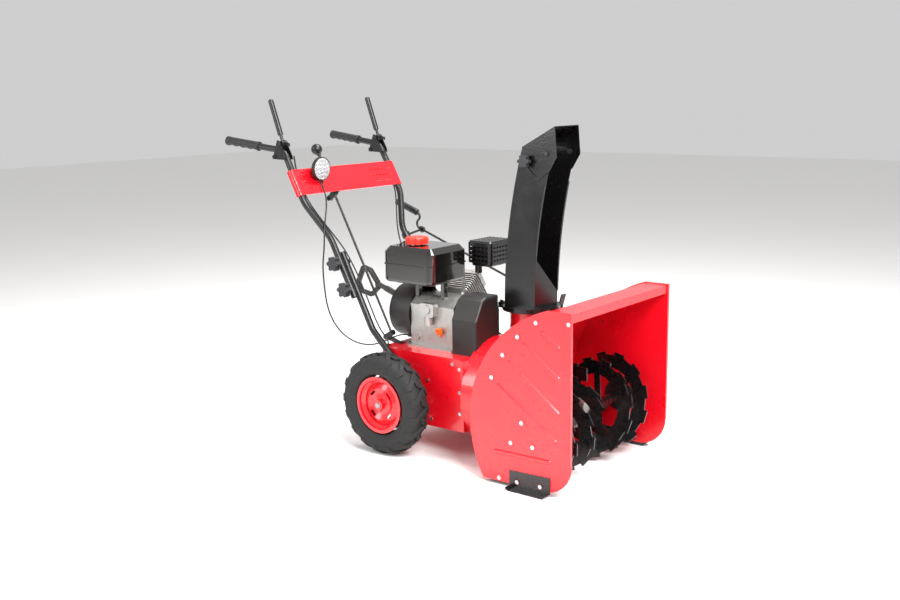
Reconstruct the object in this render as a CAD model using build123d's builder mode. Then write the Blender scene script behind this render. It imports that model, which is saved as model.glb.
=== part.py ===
from build123d import *
import os
from math import atan2, cos, degrees, hypot, pi, radians, sin, sqrt

os.makedirs("parts", exist_ok=True)

# A two-stage snow blower. X points forward, Y to the operator's left, Z up; Z = 0 is the ground.
# All sizes are in mm.

# Fits and stock
sheet = 3.0
gap = 0.4
run_fit = 0.05
bolt_head = 7.0
bolt_rise = 4.0

# Auger housing
clearing_width = 560.0
housing_front = 703.0
housing_top = 543.0
floor_gap = 12.0
scroll_radius = 355.0
scroll_z = 190.0
top_flat = 80.0
toe_radius = 93.0
shell_inset = 4.0
shoulder_angle = 130.0
rib_height = 4.0
rib_width = 15.0

# Drum, auger and impeller
auger_x = 535.0
auger_z = 160.0
auger_shaft_radius = 12.7
auger_radius = 150.0
floor_end = 472.0
flight_pitch = 190.0
flight_depth = 52.0
flight_starts = 2
worm_wheel_radius = 24.0
worm_radius = 12.0
drum_back = 230.0
drum_radius = 175.0
impeller_shaft_radius = 10.0
impeller_clearance = 6.0

# Wheels
wheel_x = -15.0
wheel_radius = 165.0
tyre_width = 93.0
tyre_outer = 298.0
rim_radius = 92.0
axle_radius = 9.5
hub_pin_y = 275.0

# Transmission case
case_rear = -112.0
case_half = 160.0
case_bottom = 88.0
case_top = 320.0

# Engine
crank_z = 420.0
engine_pulley_radius = 30.0
impeller_pulley_radius = 88.0
disc_pulley_radius = 60.0
belt_thickness = 8.0
belt_width = 10.0
recoil_radius = 88.0
flywheel_radius = 72.0
tank_size = (208.0, 190.0, 118.0)
tank_corner = (-114.0, -140.0, 534.0)
muffler_size = (96.0, 124.0, 84.0)
muffler_centre = (126.0, 128.0, 617.0)
exhaust_low = 545.0
filler = (-30.0, -60.0)
rope_start = (-130.0, 0.0, 448.0)
rope_rise = 18.0
rope_tube = 98.0

# Chute and crank
chute_x = 309.0
chute_y = 100.0
neck_radius = 68.0
neck_top = 456.0
flange_radius = 94.0
flange_thickness = 8.0
chute_width = 130.0
chute_depth = 115.0
chute_top = 960.0
chute_lean = 67.0
crank_eye = (-280.0, 265.0, 650.0)
crank_rod_radius = 4.0
chute_worm_radius = 9.0

# Handles
tube_radius = 11.0
tube_wall = 2.0
lower_foot = (5.0, 171.5, 240.0)
lower_bend = (-134.0, 171.5, 375.0)
lower_top = (-273.0, 160.0, 619.0)
upper_foot_z = 480.0
upper_points = ((-302.0, 181.0, 668.0), (-358.0, 241.0, 785.0), (-450.0, 236.0, 955.0), (-702.0, 256.0, 985.0))
grip_length = 150.0
grip_radius = 16.0

# Gear train in the case
disc_x = 100.0
disc_radius = 80.0
disc_wall_x = 126.0
belt_slot_x = 178.0
friction_wheel_radius = 45.0
pinion_radius = 20.0
hex_journal = 7.0
disc_shaft_radius = 10.0
mesh_gap = 0.5

rope_plane = Plane(rope_start, x_dir=(0, 1, 0), z_dir=(-cos(radians(rope_rise)), 0, sin(radians(rope_rise))))
half_width = clearing_width / 2
inner_half = half_width - sheet
impeller_z = auger_z + worm_wheel_radius + worm_radius + mesh_gap
hex_x = disc_x - friction_wheel_radius - gap


def arc_point(centre, radius, angle):
    return (centre[0] + radius * cos(radians(angle)), centre[1] + radius * sin(radians(angle)))


def tube_path(points, radii):
    # straight runs joined by tangent arcs
    with BuildLine() as path:
        FilletPolyline(*points, radius=radii)
    return path.line


def arc_radii(points, share=0.45):
    # each arc takes a share of the shorter of its two runs
    radii = []
    for before, at, after in zip(points, points[1:], points[2:]):
        first = Vector(*at) - Vector(*before)
        second = Vector(*after) - Vector(*at)
        half_turn = radians(first.get_angle(second) / 2)
        radii.append(share * min(first.length, second.length) / (sin(half_turn) / cos(half_turn)))
    return radii


# ---------------------------------------------------------------- auger housing
scroll_centre = (housing_front, scroll_z)
rear_low = (housing_front - sqrt(scroll_radius**2 - (scroll_z - floor_gap) ** 2), floor_gap)
scroll_mid = (housing_front - scroll_radius, scroll_z)
shoulder = arc_point(scroll_centre, scroll_radius, shoulder_angle)
shoulder_way = (sin(radians(shoulder_angle)), -cos(radians(shoulder_angle)))
top_rear = (housing_front - top_flat, housing_top)
front_top = (housing_front, housing_top)
front_low = (housing_front, floor_gap + toe_radius)
toe_end = (housing_front - toe_radius, floor_gap)

with BuildSketch() as side_outline:
    with BuildLine():
        ThreePointArc(rear_low, scroll_mid, shoulder)
        TangentArc(shoulder, top_rear, tangent=shoulder_way)
        Line(top_rear, front_top)
        Line(front_top, front_low)
        TangentArc(front_low, toe_end, tangent=(0, -1))
        Line(toe_end, rear_low)
    make_face()

# Bolts in the side plates: back from the front edge, height
edge_bolts = ((118, 504), (181, 456), (233, 396), (273, 324), (10, 512), (248, 23))
bearing_bolt_circle = 44.0
bearing_bolt_angles = (90, 210, 330)
# Pressed ribs of the side plates: back from the front edge and height at each end
rib_ends = (
    ((252, 302), (55, 169)),
    ((212, 377), (46, 252)),
    ((158, 434), (46, 353)),
    ((96, 476), (46, 440)),
    ((262, 102), (75, 104)),
)
shoe_slots = ((182, 24), (102, 27))
shoe_slot_length = 22.0

with BuildPart() as side_plate_right:
    with BuildSketch(Plane.XZ.offset(inner_half)):
        add(side_outline.sketch)
        with Locations(*[(housing_front - back, up) for back, up in edge_bolts + shoe_slots]):
            Circle(4.2, mode=Mode.SUBTRACT)
        with Locations((auger_x, auger_z)):
            with PolarLocations(bearing_bolt_circle, 3, start_angle=90):
                Circle(4.2, mode=Mode.SUBTRACT)
    extrude(amount=sheet)
    for (back1, up1), (back2, up2) in rib_ends:
        run = hypot(back1 - back2, up1 - up2)
        turn = degrees(atan2(up2 - up1, back1 - back2))
        with BuildSketch(Plane.XZ.offset(half_width)):
            with Locations((housing_front - (back1 + back2) / 2, (up1 + up2) / 2)):
                SlotCenterToCenter(run, rib_width, rotation=turn)
        extrude(amount=rib_height, taper=40)
    with BuildSketch(Plane.XZ.offset(half_width)):
        with Locations((housing_front - sheet / 2, (front_low[1] + housing_top) / 2)):
            Rectangle(sheet, housing_top - front_low[1])
    extrude(amount=6)

with BuildPart() as side_plate_left:
    mirror(side_plate_right.part, about=Plane.XZ)

drum_reach = housing_front - sqrt(scroll_radius**2 - drum_radius**2) + 4
with BuildPart() as auger_housing:
    with BuildSketch(Plane.XZ) as shell_outline:
        add(side_outline.sketch)
        offset(amount=-shell_inset, mode=Mode.REPLACE)
    extrude(amount=inner_half, both=True)
    with BuildSketch(Plane.YZ.offset(drum_back)):
        with Locations((0, impeller_z)):
            Circle(drum_radius)
    extrude(amount=drum_reach - drum_back)
    with BuildSketch(Plane.XY.offset(impeller_z)):
        with Locations((chute_x, chute_y)):
            Circle(neck_radius)
    extrude(amount=neck_top - impeller_z)
    with BuildSketch(Plane.XZ):
        add(side_outline.sketch)
        offset(amount=-shell_inset - sheet, mode=Mode.REPLACE)
        with Locations((housing_front - toe_radius / 4, (front_low[1] + housing_top - shell_inset - sheet) / 2)):
            Rectangle(toe_radius / 2 + 10, housing_top - shell_inset - sheet - front_low[1])
    extrude(amount=inner_half, both=True, mode=Mode.SUBTRACT)
    with BuildSketch(Plane.YZ.offset(drum_back + sheet)):
        with Locations((0, impeller_z)):
            Circle(drum_radius - sheet)
    extrude(amount=drum_reach + 10 - drum_back, mode=Mode.SUBTRACT)
    with BuildSketch(Plane.XY.offset(impeller_z)):
        with Locations((chute_x, chute_y)):
            Circle(neck_radius - sheet)
    extrude(amount=neck_top - impeller_z, mode=Mode.SUBTRACT)
    with BuildSketch(Plane.YZ.offset(drum_back)):
        with Locations((0, impeller_z)):
            Circle(22)
    extrude(amount=sheet, mode=Mode.SUBTRACT)
    # the floor stops behind the lowest point of the flights
    with BuildSketch(Plane.XZ):
        with Locations(((floor_end + housing_front) / 2, front_low[1] / 2)):
            Rectangle(housing_front - floor_end, front_low[1] + 2 * gap)
    extrude(amount=inner_half + 1, both=True, mode=Mode.SUBTRACT)
    # folded lip along the top of the mouth
    lip_top = housing_top - shell_inset - sheet
    with BuildSketch(Plane.XY.offset(lip_top - 22)):
        with Locations((housing_front - shell_inset - sheet / 2, 0)):
            Rectangle(sheet, 2 * inner_half)
    extrude(amount=22)


scraper_thickness = 5.0
shell_floor = floor_gap + shell_inset
with BuildPart() as scraper_bar:
    with BuildSketch(Plane.XY.offset(shell_floor - scraper_thickness)):
        with Locations((floor_end - 30, 0)):
            Rectangle(70, 2 * inner_half - 2 * gap)
    extrude(amount=scraper_thickness)
    chamfer(scraper_bar.edges().filter_by(Axis.Y).group_by(Axis.X)[-1].sort_by(Axis.Z)[0:1], 3)

shoe_plate = 3.0
shoe_reach = 28.0
shoe_rear = housing_front - 211
shoe_front = housing_front - 71
with BuildPart() as skid_shoe_right:
    with BuildSketch(Plane.XZ.offset(half_width)):
        with BuildLine():
            Polyline(
                (shoe_rear, 8),
                (shoe_rear + 12, 0),
                (shoe_front - 12, 0),
                (shoe_front, 10),
                (shoe_front, 58),
                (shoe_rear, 54),
                close=True,
            )
        make_face()
        with Locations(*[(housing_front - back, up) for back, up in shoe_slots]):
            SlotOverall(shoe_slot_length, 9, rotation=90, mode=Mode.SUBTRACT)
    extrude(amount=shoe_plate)
    with BuildSketch(Plane.XZ.offset(half_width)):
        with BuildLine():
            Polyline(
                (shoe_rear, 8),
                (shoe_rear + 12, 0),
                (shoe_front - 12, 0),
                (shoe_front, 10),
                (shoe_front - 3, 12),
                (shoe_front - 13.5, 3.5),
                (shoe_rear + 13.5, 3.5),
                (shoe_rear + 3, 10.5),
                close=True,
            )
        make_face()
    extrude(amount=shoe_reach)

with BuildPart() as skid_shoe_left:
    mirror(skid_shoe_right.part, about=Plane.XZ)

# Fasteners of the front half: one group of separate bolts
plate_bolts = [(housing_front - back, up, half_width) for back, up in edge_bolts]
for angle in bearing_bolt_angles:
    bolt_x, bolt_z = arc_point((auger_x, auger_z), bearing_bolt_circle, angle)
    plate_bolts.append((bolt_x, bolt_z, half_width))
for back, up in shoe_slots:
    plate_bolts.append((housing_front - back, up, half_width + shoe_plate))
with BuildPart() as housing_bolts:
    for bolt_x, bolt_z, seat in plate_bolts:
        for side in (1, -1):
            face = Plane((bolt_x, side * seat, bolt_z), x_dir=(1, 0, 0), z_dir=(0, side, 0))
            with BuildSketch(face):
                RegularPolygon(bolt_head, 6)
            extrude(amount=bolt_rise)
            with BuildSketch(face):
                Circle(4.0)
            extrude(amount=-(seat - inner_half) - 0.0)

# ---------------------------------------------------------------- auger and its gearbox
auger_tip = inner_half - 3
sleeve_radius = 17.0
sleeve_start = 42.0
sleeve_end = 255.0
shear_bolt_y = 60.0
with BuildPart() as auger_shaft:
    with BuildSketch(Plane.XZ):
        with Locations((auger_x, auger_z)):
            Circle(auger_shaft_radius)
    extrude(amount=auger_tip, both=True)
    with BuildSketch(Plane.XZ):
        with Locations((auger_x, auger_z)):
            Circle(worm_wheel_radius)
    extrude(amount=9, both=True)
    chamfer(auger_shaft.faces().sort_by(Axis.Y)[0].edges(), 1)
    chamfer(auger_shaft.faces().sort_by(Axis.Y)[-1].edges(), 1)
    # holes of the shear bolts
    for side in (1, -1):
        with BuildSketch(Plane.XY.offset(auger_z)):
            with Locations((auger_x, side * shear_bolt_y)):
                Circle(3.2)
        extrude(amount=20, both=True, mode=Mode.SUBTRACT)

flight_steps = 26
flight_turns = 1.1


def flight(side):
    # ribbon of short overlapping plates; every second plate stands out as a tooth
    step = flight_turns * 360 / flight_steps
    advance = flight_pitch * flight_turns / flight_steps
    plates = []
    for i, start in [(i, start) for start in range(flight_starts) for i in range(flight_steps)]:
        angle = i * step + start * 360 / flight_starts + (90 if side > 0 else 30)
        along = side * (sleeve_start + 6 + advance * i)
        outer = auger_radius if i % 2 else auger_radius - 10
        inner = auger_radius - flight_depth
        arc_length = radians(step) * (outer + inner) / 2
        slope = -side * degrees(atan2(advance, arc_length))
        length = hypot(arc_length, advance) + 8
        plate = Box(outer - inner, length, 4, align=(Align.MIN, Align.CENTER, Align.CENTER))
        placed = Rot(0, 0, 0) * Pos(inner, 0, 0) * Rot(slope, 0, 0) * plate
        plates.append(Pos(auger_x, along, auger_z) * Rot(90, 0, 0) * Rot(0, 0, angle) * placed)
        if i in (3, 12, 21):
            arm = Box(inner + 14 - sleeve_radius + 2, 24, 4, align=(Align.MIN, Align.CENTER, Align.CENTER))
            turned = Pos(sleeve_radius - 2, 0, 0) * Rot(slope, 0, 0) * arm
            plates.append(Pos(auger_x, along, auger_z) * Rot(90, 0, 0) * Rot(0, 0, angle) * turned)
    return plates


flights = {}
for side, label in ((-1, "right"), (1, "left")):
    ribbon = flight(side)
    with BuildPart() as auger_flight:
        with BuildSketch(Plane.XZ.offset(-side * sleeve_start)):
            with Locations((auger_x, auger_z)):
                Circle(sleeve_radius)
        extrude(amount=-side * (sleeve_end - sleeve_start))
        add(ribbon)
        with BuildSketch(Plane.XZ.offset(-side * (sleeve_start - 1))):
            with Locations((auger_x, auger_z)):
                Circle(auger_shaft_radius + 0.1)
        extrude(amount=-side * (sleeve_end - sleeve_start + 2), mode=Mode.SUBTRACT)
        with BuildSketch(Plane.XY.offset(auger_z)):
            with Locations((auger_x, side * shear_bolt_y)):
                Circle(3.2)
        extrude(amount=40, both=True, mode=Mode.SUBTRACT)
        # the shear bolt, a separate solid through sleeve and shaft
        with BuildSketch(Plane.XY.offset(auger_z + sleeve_radius + 0.1)):
            with Locations((auger_x, side * shear_bolt_y)):
                RegularPolygon(5.5, 6)
        extrude(amount=4)
        with BuildSketch(Plane.XY.offset(auger_z - sleeve_radius - 3)):
            with Locations((auger_x, side * shear_bolt_y)):
                Circle(3.0)
        extrude(amount=2 * sleeve_radius + 3.1)
    flights[f"auger_flight_{label}"] = auger_flight

gearbox_half = 27.0
gearbox_neck_end = auger_x - 92
with BuildPart() as gearbox_case:
    with BuildSketch(Plane.XZ):
        with Locations((auger_x, auger_z)):
            Circle(worm_wheel_radius + 12)
    extrude(amount=gearbox_half, both=True)
    with BuildSketch(Plane.YZ.offset(auger_x - 46)):
        with Locations((0, impeller_z)):
            Circle(worm_radius + 8)
    extrude(amount=92)
    with BuildSketch(Plane.YZ.offset(gearbox_neck_end)):
        with Locations((0, impeller_z)):
            Circle(impeller_shaft_radius + 6)
    extrude(amount=50)
    fillet(gearbox_case.faces().filter_by(Axis.Y).edges(), 4)
    # flange of the split line
    with BuildSketch(Plane.XZ):
        with Locations((auger_x, auger_z)):
            Circle(worm_wheel_radius + 17)
    extrude(amount=3, both=True)
    with BuildSketch(Plane.XZ):
        with Locations((auger_x, auger_z)):
            Circle(worm_wheel_radius + 1)
    extrude(amount=10, both=True, mode=Mode.SUBTRACT)
    with BuildSketch(Plane.YZ.offset(auger_x - 34)):
        with Locations((0, impeller_z)):
            Circle(worm_radius + 1)
    extrude(amount=68, mode=Mode.SUBTRACT)
    with BuildSketch(Plane.XZ):
        with Locations((auger_x, auger_z)):
            Circle(auger_shaft_radius + run_fit)
    extrude(amount=gearbox_half + 5, both=True, mode=Mode.SUBTRACT)
    with BuildSketch(Plane.YZ.offset(gearbox_neck_end - 1)):
        with Locations((0, impeller_z)):
            Circle(impeller_shaft_radius + run_fit)
    extrude(amount=80, mode=Mode.SUBTRACT)

impeller_front = scroll_mid[0] + 10
impeller_rear = drum_back + 36
with BuildPart() as impeller:
    with BuildSketch(Plane.YZ.offset(impeller_rear)):
        with Locations((0, impeller_z)):
            Circle(impeller_shaft_radius + 12)
    extrude(amount=impeller_front - impeller_rear)
    # three paddles, each with a bent edge
    for angle in (90, 210, 330):
        with BuildSketch(Plane.YZ.offset(impeller_rear)):
            with Locations((0, impeller_z)):
                with Locations(Rot(0, 0, angle)):
                    with Locations((drum_radius / 2, 0)):
                        Rectangle(drum_radius - sheet - 2 * impeller_clearance - 2, 4)
                    with Locations((drum_radius - sheet - impeller_clearance - 26, 10)):
                        Rectangle(40, 4, rotation=22)
        extrude(amount=impeller_front - impeller_rear - 8)
    with BuildSketch(Plane.YZ.offset(impeller_rear)):
        with Locations((0, impeller_z)):
            Circle(drum_radius * 0.55)
            Circle(impeller_shaft_radius + 6, mode=Mode.SUBTRACT)
    extrude(amount=4)
    with BuildSketch(Plane.YZ.offset(impeller_rear - 1)):
        with Locations((0, impeller_z)):
            Circle(impeller_shaft_radius + 0.1)
    extrude(amount=impeller_front - impeller_rear + 2, mode=Mode.SUBTRACT)

impeller_pulley_x = 186.0
pulley_width = 16.0


def pulley_profile(axis_height, radius, start, hub):
    # half section of a V pulley whose axis runs along X
    with BuildSketch() as section:
        with BuildLine():
            Polyline(
                (start, axis_height + hub),
                (start, axis_height + radius),
                (start + 2, axis_height + radius),
                (start + 5, axis_height + radius - belt_thickness),
                (start + pulley_width - 5, axis_height + radius - belt_thickness),
                (start + pulley_width - 2, axis_height + radius),
                (start + pulley_width, axis_height + radius),
                (start + pulley_width, axis_height + hub),
                close=True,
            )
        make_face()
    return section.sketch


impeller_axis = Axis((0, 0, impeller_z), (1, 0, 0))
with BuildPart() as impeller_shaft:
    with BuildSketch(Plane.YZ.offset(impeller_pulley_x - 4)):
        with Locations((0, impeller_z)):
            Circle(impeller_shaft_radius)
    extrude(amount=auger_x + 30 - impeller_pulley_x + 4)
    with BuildSketch(Plane.YZ.offset(auger_x - 22)):
        with Locations((0, impeller_z)):
            Circle(worm_radius)
    extrude(amount=44)
    with BuildSketch(Plane.XZ):
        add(pulley_profile(impeller_z, impeller_pulley_radius, impeller_pulley_x, impeller_shaft_radius - 1))
    revolve(axis=impeller_axis)

# ---------------------------------------------------------------- transmission case
case_front = drum_back
with BuildPart() as transmission_case:
    with BuildSketch(Plane.XZ) as case_side:
        with BuildLine():
            Polyline(
                (case_rear, case_bottom + 40),
                (case_rear + 40, case_bottom),
                (case_front, case_bottom),
                (case_front, case_top - 6),
                (case_front - 20, case_top),
                (case_rear, case_top),
                close=True,
            )
        make_face()
    extrude(amount=case_half, both=True)
    fillet(transmission_case.edges().filter_by(Axis.Z).group_by(Axis.X)[0], 14)
    with BuildSketch(Plane.XZ):
        with BuildLine():
            Polyline(
                (case_rear + sheet, case_bottom + 41),
                (case_rear + 41, case_bottom - 1),
                (case_front - sheet, case_bottom - 1),
                (case_front - sheet, case_top - 6 - sheet),
                (case_front - 20, case_top - sheet),
                (case_rear + sheet, case_top - sheet),
                close=True,
            )
        make_face()
    extrude(amount=case_half - sheet, both=True, mode=Mode.SUBTRACT)
    # inner wall that carries the disc shaft
    with BuildSketch(Plane.YZ.offset(disc_wall_x)):
        with Locations((0, (case_bottom + case_top) / 2 + 20)):
            Rectangle(2 * (case_half - sheet), case_top - case_bottom - 40 - 2 * sheet + 6)
        with Locations((0, impeller_z)):
            Circle(18, mode=Mode.SUBTRACT)
    extrude(amount=sheet)
    # belt slot in the top, axle and hexagon shaft holes, shaft hole in front
    with BuildSketch(Plane.XY.offset(case_top - sheet)):
        with Locations((belt_slot_x, 0)):
            Rectangle(66, 2 * engine_pulley_radius + 60)
    extrude(amount=sheet, mode=Mode.SUBTRACT)
    with BuildSketch(Plane.XZ):
        with Locations((wheel_x, wheel_radius)):
            Circle(axle_radius + 8)
        with Locations((hex_x, impeller_z)):
            Circle(14)
    extrude(amount=case_half, both=True, mode=Mode.SUBTRACT)
    with BuildSketch(Plane.YZ.offset(case_front - sheet)):
        with Locations((0, impeller_z)):
            Circle(22)
    extrude(amount=sheet, mode=Mode.SUBTRACT)

with BuildPart() as bottom_cover:
    with BuildSketch(Plane.XY.offset(case_bottom - sheet)):
        with Locations(((case_rear + 40 + case_front) / 2, 0)):
            Rectangle(case_front - case_rear - 40, 2 * case_half - 6)
    extrude(amount=sheet)
    with BuildSketch(Plane.XY.offset(case_bottom - sheet - 4)):
        with Locations((case_front - 30, 0)):
            Rectangle(12, 2 * case_half - 30)
    extrude(amount=4)

# Bushes: rings in the walls that carry the shafts
hex_half = 8.0
flange_bolt = 30.0
with BuildPart() as shaft_bushes:
    for side in (1, -1):
        # axle bush in the case side, with an outer flange
        with BuildSketch(Plane.XZ.offset(-side * (case_half - sheet - 5))):
            with Locations((wheel_x, wheel_radius)):
                Circle(axle_radius + 8 - run_fit)
                Circle(axle_radius + run_fit, mode=Mode.SUBTRACT)
        extrude(amount=-side * (sheet + 5))
        with BuildSketch(Plane.XZ.offset(-side * case_half)):
            with Locations((wheel_x, wheel_radius)):
                Circle(axle_radius + 16)
                Circle(axle_radius + run_fit, mode=Mode.SUBTRACT)
        extrude(amount=-side * 3)
        # hexagon shaft bush
        with BuildSketch(Plane.XZ.offset(-side * (case_half - sheet - 4))):
            with Locations((hex_x, impeller_z)):
                Circle(14 - run_fit)
                Circle(hex_journal + run_fit, mode=Mode.SUBTRACT)
        extrude(amount=-side * (sheet + 4))
        # cone boss of the auger shaft inside the side plate
        with BuildSketch(Plane.XZ.offset(-side * inner_half)):
            with Locations((auger_x, auger_z)):
                Circle(bearing_bolt_circle + 8)
        extrude(amount=side * 3)
        with BuildSketch(Plane.XZ.offset(-side * (inner_half - 3))):
            with Locations((auger_x, auger_z)):
                Circle(36)
        extrude(amount=side * 14, taper=35)
        with BuildSketch(Plane.XZ.offset(-side * (inner_half - 2))):
            with Locations((auger_x, auger_z)):
                Circle(auger_shaft_radius + run_fit)
        extrude(amount=side * 30, mode=Mode.SUBTRACT)
    # impeller shaft bearing in the drum back and the case front
    with BuildSketch(Plane.YZ.offset(case_front - sheet - 6)):
        with Locations((0, impeller_z)):
            Circle(22 - run_fit)
            Circle(impeller_shaft_radius + run_fit, mode=Mode.SUBTRACT)
    extrude(amount=2 * sheet + 6)
    with BuildSketch(Plane.YZ.offset(case_front + sheet)):
        with Locations((0, impeller_z)):
            Circle(34)
            Circle(impeller_shaft_radius + run_fit, mode=Mode.SUBTRACT)
    extrude(amount=5)
    # bush of the disc shaft in the inner wall
    with BuildSketch(Plane.YZ.offset(disc_wall_x - 6)):
        with Locations((0, impeller_z)):
            Circle(18 - run_fit)
            Circle(disc_shaft_radius + run_fit, mode=Mode.SUBTRACT)
    extrude(amount=sheet + 12)

disc_pulley_x = 152.0
with BuildPart() as drive_disc:
    with BuildSketch(Plane.YZ.offset(disc_x)):
        with Locations((0, impeller_z)):
            Circle(disc_radius)
    extrude(amount=6)
    with BuildSketch(Plane.YZ.offset(disc_x + 6)):
        with Locations((0, impeller_z)):
            Circle(disc_shaft_radius + 8)
    extrude(amount=8)
    with BuildSketch(Plane.YZ.offset(disc_x + 6)):
        with Locations((0, impeller_z)):
            Circle(disc_shaft_radius)
    extrude(amount=disc_pulley_x + pulley_width - disc_x - 2)
    with BuildSketch(Plane.XZ):
        add(pulley_profile(impeller_z, disc_pulley_radius, disc_pulley_x, disc_shaft_radius - 1))
    revolve(axis=impeller_axis)

pinion_y = -125.0
with BuildPart() as hex_shaft:
    with BuildSketch(Plane.XZ):
        with Locations((hex_x, impeller_z)):
            Circle(hex_journal)
    extrude(amount=case_half - 1, both=True)
    with BuildSketch(Plane.XZ):
        with Locations((hex_x, impeller_z)):
            RegularPolygon(hex_half, 6)
    extrude(amount=case_half - sheet - 12, both=True)
    with BuildSketch(Plane.XZ.offset(-pinion_y - 7)):
        with Locations((hex_x, impeller_z)):
            Circle(pinion_radius)
    extrude(amount=14)

friction_y = 58.0
with BuildPart() as friction_wheel:
    with BuildSketch(Plane.XZ.offset(-friction_y - 5)):
        with Locations((hex_x, impeller_z)):
            Circle(friction_wheel_radius)
    extrude(amount=10)
    with BuildSketch(Plane.XZ.offset(-friction_y - 16)):
        with Locations((hex_x, impeller_z)):
            Circle(18)
    extrude(amount=32)
    with BuildSketch(Plane.XZ.offset(-friction_y - 17)):
        with Locations((hex_x, impeller_z)):
            RegularPolygon(hex_half + 0.3, 6)
    extrude(amount=34, mode=Mode.SUBTRACT)

# ---------------------------------------------------------------- wheels
wheel_inner = tyre_outer - tyre_width
gear_radius = hypot(hex_x - wheel_x, impeller_z - wheel_radius) - pinion_radius - mesh_gap
axle_tip = tyre_outer - 8
with BuildPart() as axle:
    with BuildSketch(Plane.XZ):
        with Locations((wheel_x, wheel_radius)):
            Circle(axle_radius)
    extrude(amount=axle_tip, both=True)
    with BuildSketch(Plane.XZ.offset(-pinion_y - 6)):
        with Locations((wheel_x, wheel_radius)):
            Circle(gear_radius)
            with PolarLocations(gear_radius * 0.62, 5):
                Circle(gear_radius * 0.16, mode=Mode.SUBTRACT)
    extrude(amount=12)
    with BuildSketch(Plane.XZ.offset(-pinion_y - 14)):
        with Locations((wheel_x, wheel_radius)):
            Circle(axle_radius + 8)
    extrude(amount=28)
    chamfer(axle.faces().sort_by(Axis.Y)[0].edges(), 1.5)
    chamfer(axle.faces().sort_by(Axis.Y)[-1].edges(), 1.5)
    # holes of the hub pins
    with BuildSketch(Plane.XY.offset(wheel_radius)):
        with Locations((wheel_x, hub_pin_y), (wheel_x, -hub_pin_y)):
            Circle(3.2)
    extrude(amount=20, both=True, mode=Mode.SUBTRACT)

bead_radius = rim_radius - 8
hub_radius = 18.0
wheel_axis = Axis((wheel_x, 0, wheel_radius), (0, 1, 0))
with BuildPart() as rim_right:
    # a pressed rim: two flanges, a well, a dished web and a hub, drawn in the YZ plane
    with BuildSketch(Plane.YZ.offset(wheel_x)):
        with BuildLine():
            Polyline(
                (-wheel_inner - 6, wheel_radius + rim_radius),
                (-wheel_inner - 6, wheel_radius + bead_radius - 3),
                (-wheel_inner - 14, wheel_radius + bead_radius - 4),
                (-wheel_inner - 30, wheel_radius + bead_radius - 14),
                (-tyre_outer + 30, wheel_radius + bead_radius - 14),
                (-tyre_outer + 20, wheel_radius + bead_radius - 4),
                (-tyre_outer + 12, wheel_radius + bead_radius - 3),
                (-tyre_outer + 12, wheel_radius + rim_radius),
                (-tyre_outer + 15, wheel_radius + rim_radius),
                (-tyre_outer + 15, wheel_radius + bead_radius),
                (-tyre_outer + 24, wheel_radius + bead_radius - 1),
                (-tyre_outer + 34, wheel_radius + bead_radius - 11),
                (-wheel_inner - 34, wheel_radius + bead_radius - 11),
                (-wheel_inner - 16, wheel_radius + bead_radius),
                (-wheel_inner - 9, wheel_radius + bead_radius),
                (-wheel_inner - 9, wheel_radius + rim_radius),
                close=True,
            )
        make_face()
    revolve(axis=wheel_axis)
    with BuildSketch(Plane.YZ.offset(wheel_x)):
        with BuildLine():
            Polyline(
                (-tyre_outer + 34, wheel_radius + bead_radius - 13),
                (-tyre_outer + 22, wheel_radius + 52),
                (-tyre_outer + 30, wheel_radius + 34),
                (-tyre_outer + 26, wheel_radius + hub_radius),
                (-tyre_outer + 10, wheel_radius + hub_radius),
                (-tyre_outer + 10, wheel_radius + axle_radius + 0.1),
                (-wheel_inner - 4, wheel_radius + axle_radius + 0.1),
                (-wheel_inner - 4, wheel_radius + hub_radius),
                (-tyre_outer + 30, wheel_radius + hub_radius),
                (-tyre_outer + 34, wheel_radius + 35),
                (-tyre_outer + 26, wheel_radius + 52),
                (-tyre_outer + 38, wheel_radius + bead_radius - 13),
                close=True,
            )
        make_face()
    revolve(axis=wheel_axis)
    # slots of the web and the hub pin
    with BuildSketch(Plane.XZ.offset(wheel_inner)):
        with Locations((wheel_x, wheel_radius)):
            with PolarLocations(47, 4, start_angle=45):
                SlotOverall(26, 9, rotation=90)
    extrude(amount=tyre_width, mode=Mode.SUBTRACT)
    with BuildSketch(Plane.XY.offset(wheel_radius)):
        with Locations((wheel_x, -hub_pin_y)):
            Circle(3.2)
    extrude(amount=hub_radius + 2, both=True, mode=Mode.SUBTRACT)
    with BuildSketch(Plane.XY.offset(wheel_radius - hub_radius - 4)):
        with Locations((wheel_x, -hub_pin_y)):
            Circle(3.0)
    extrude(amount=2 * hub_radius + 8)

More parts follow.
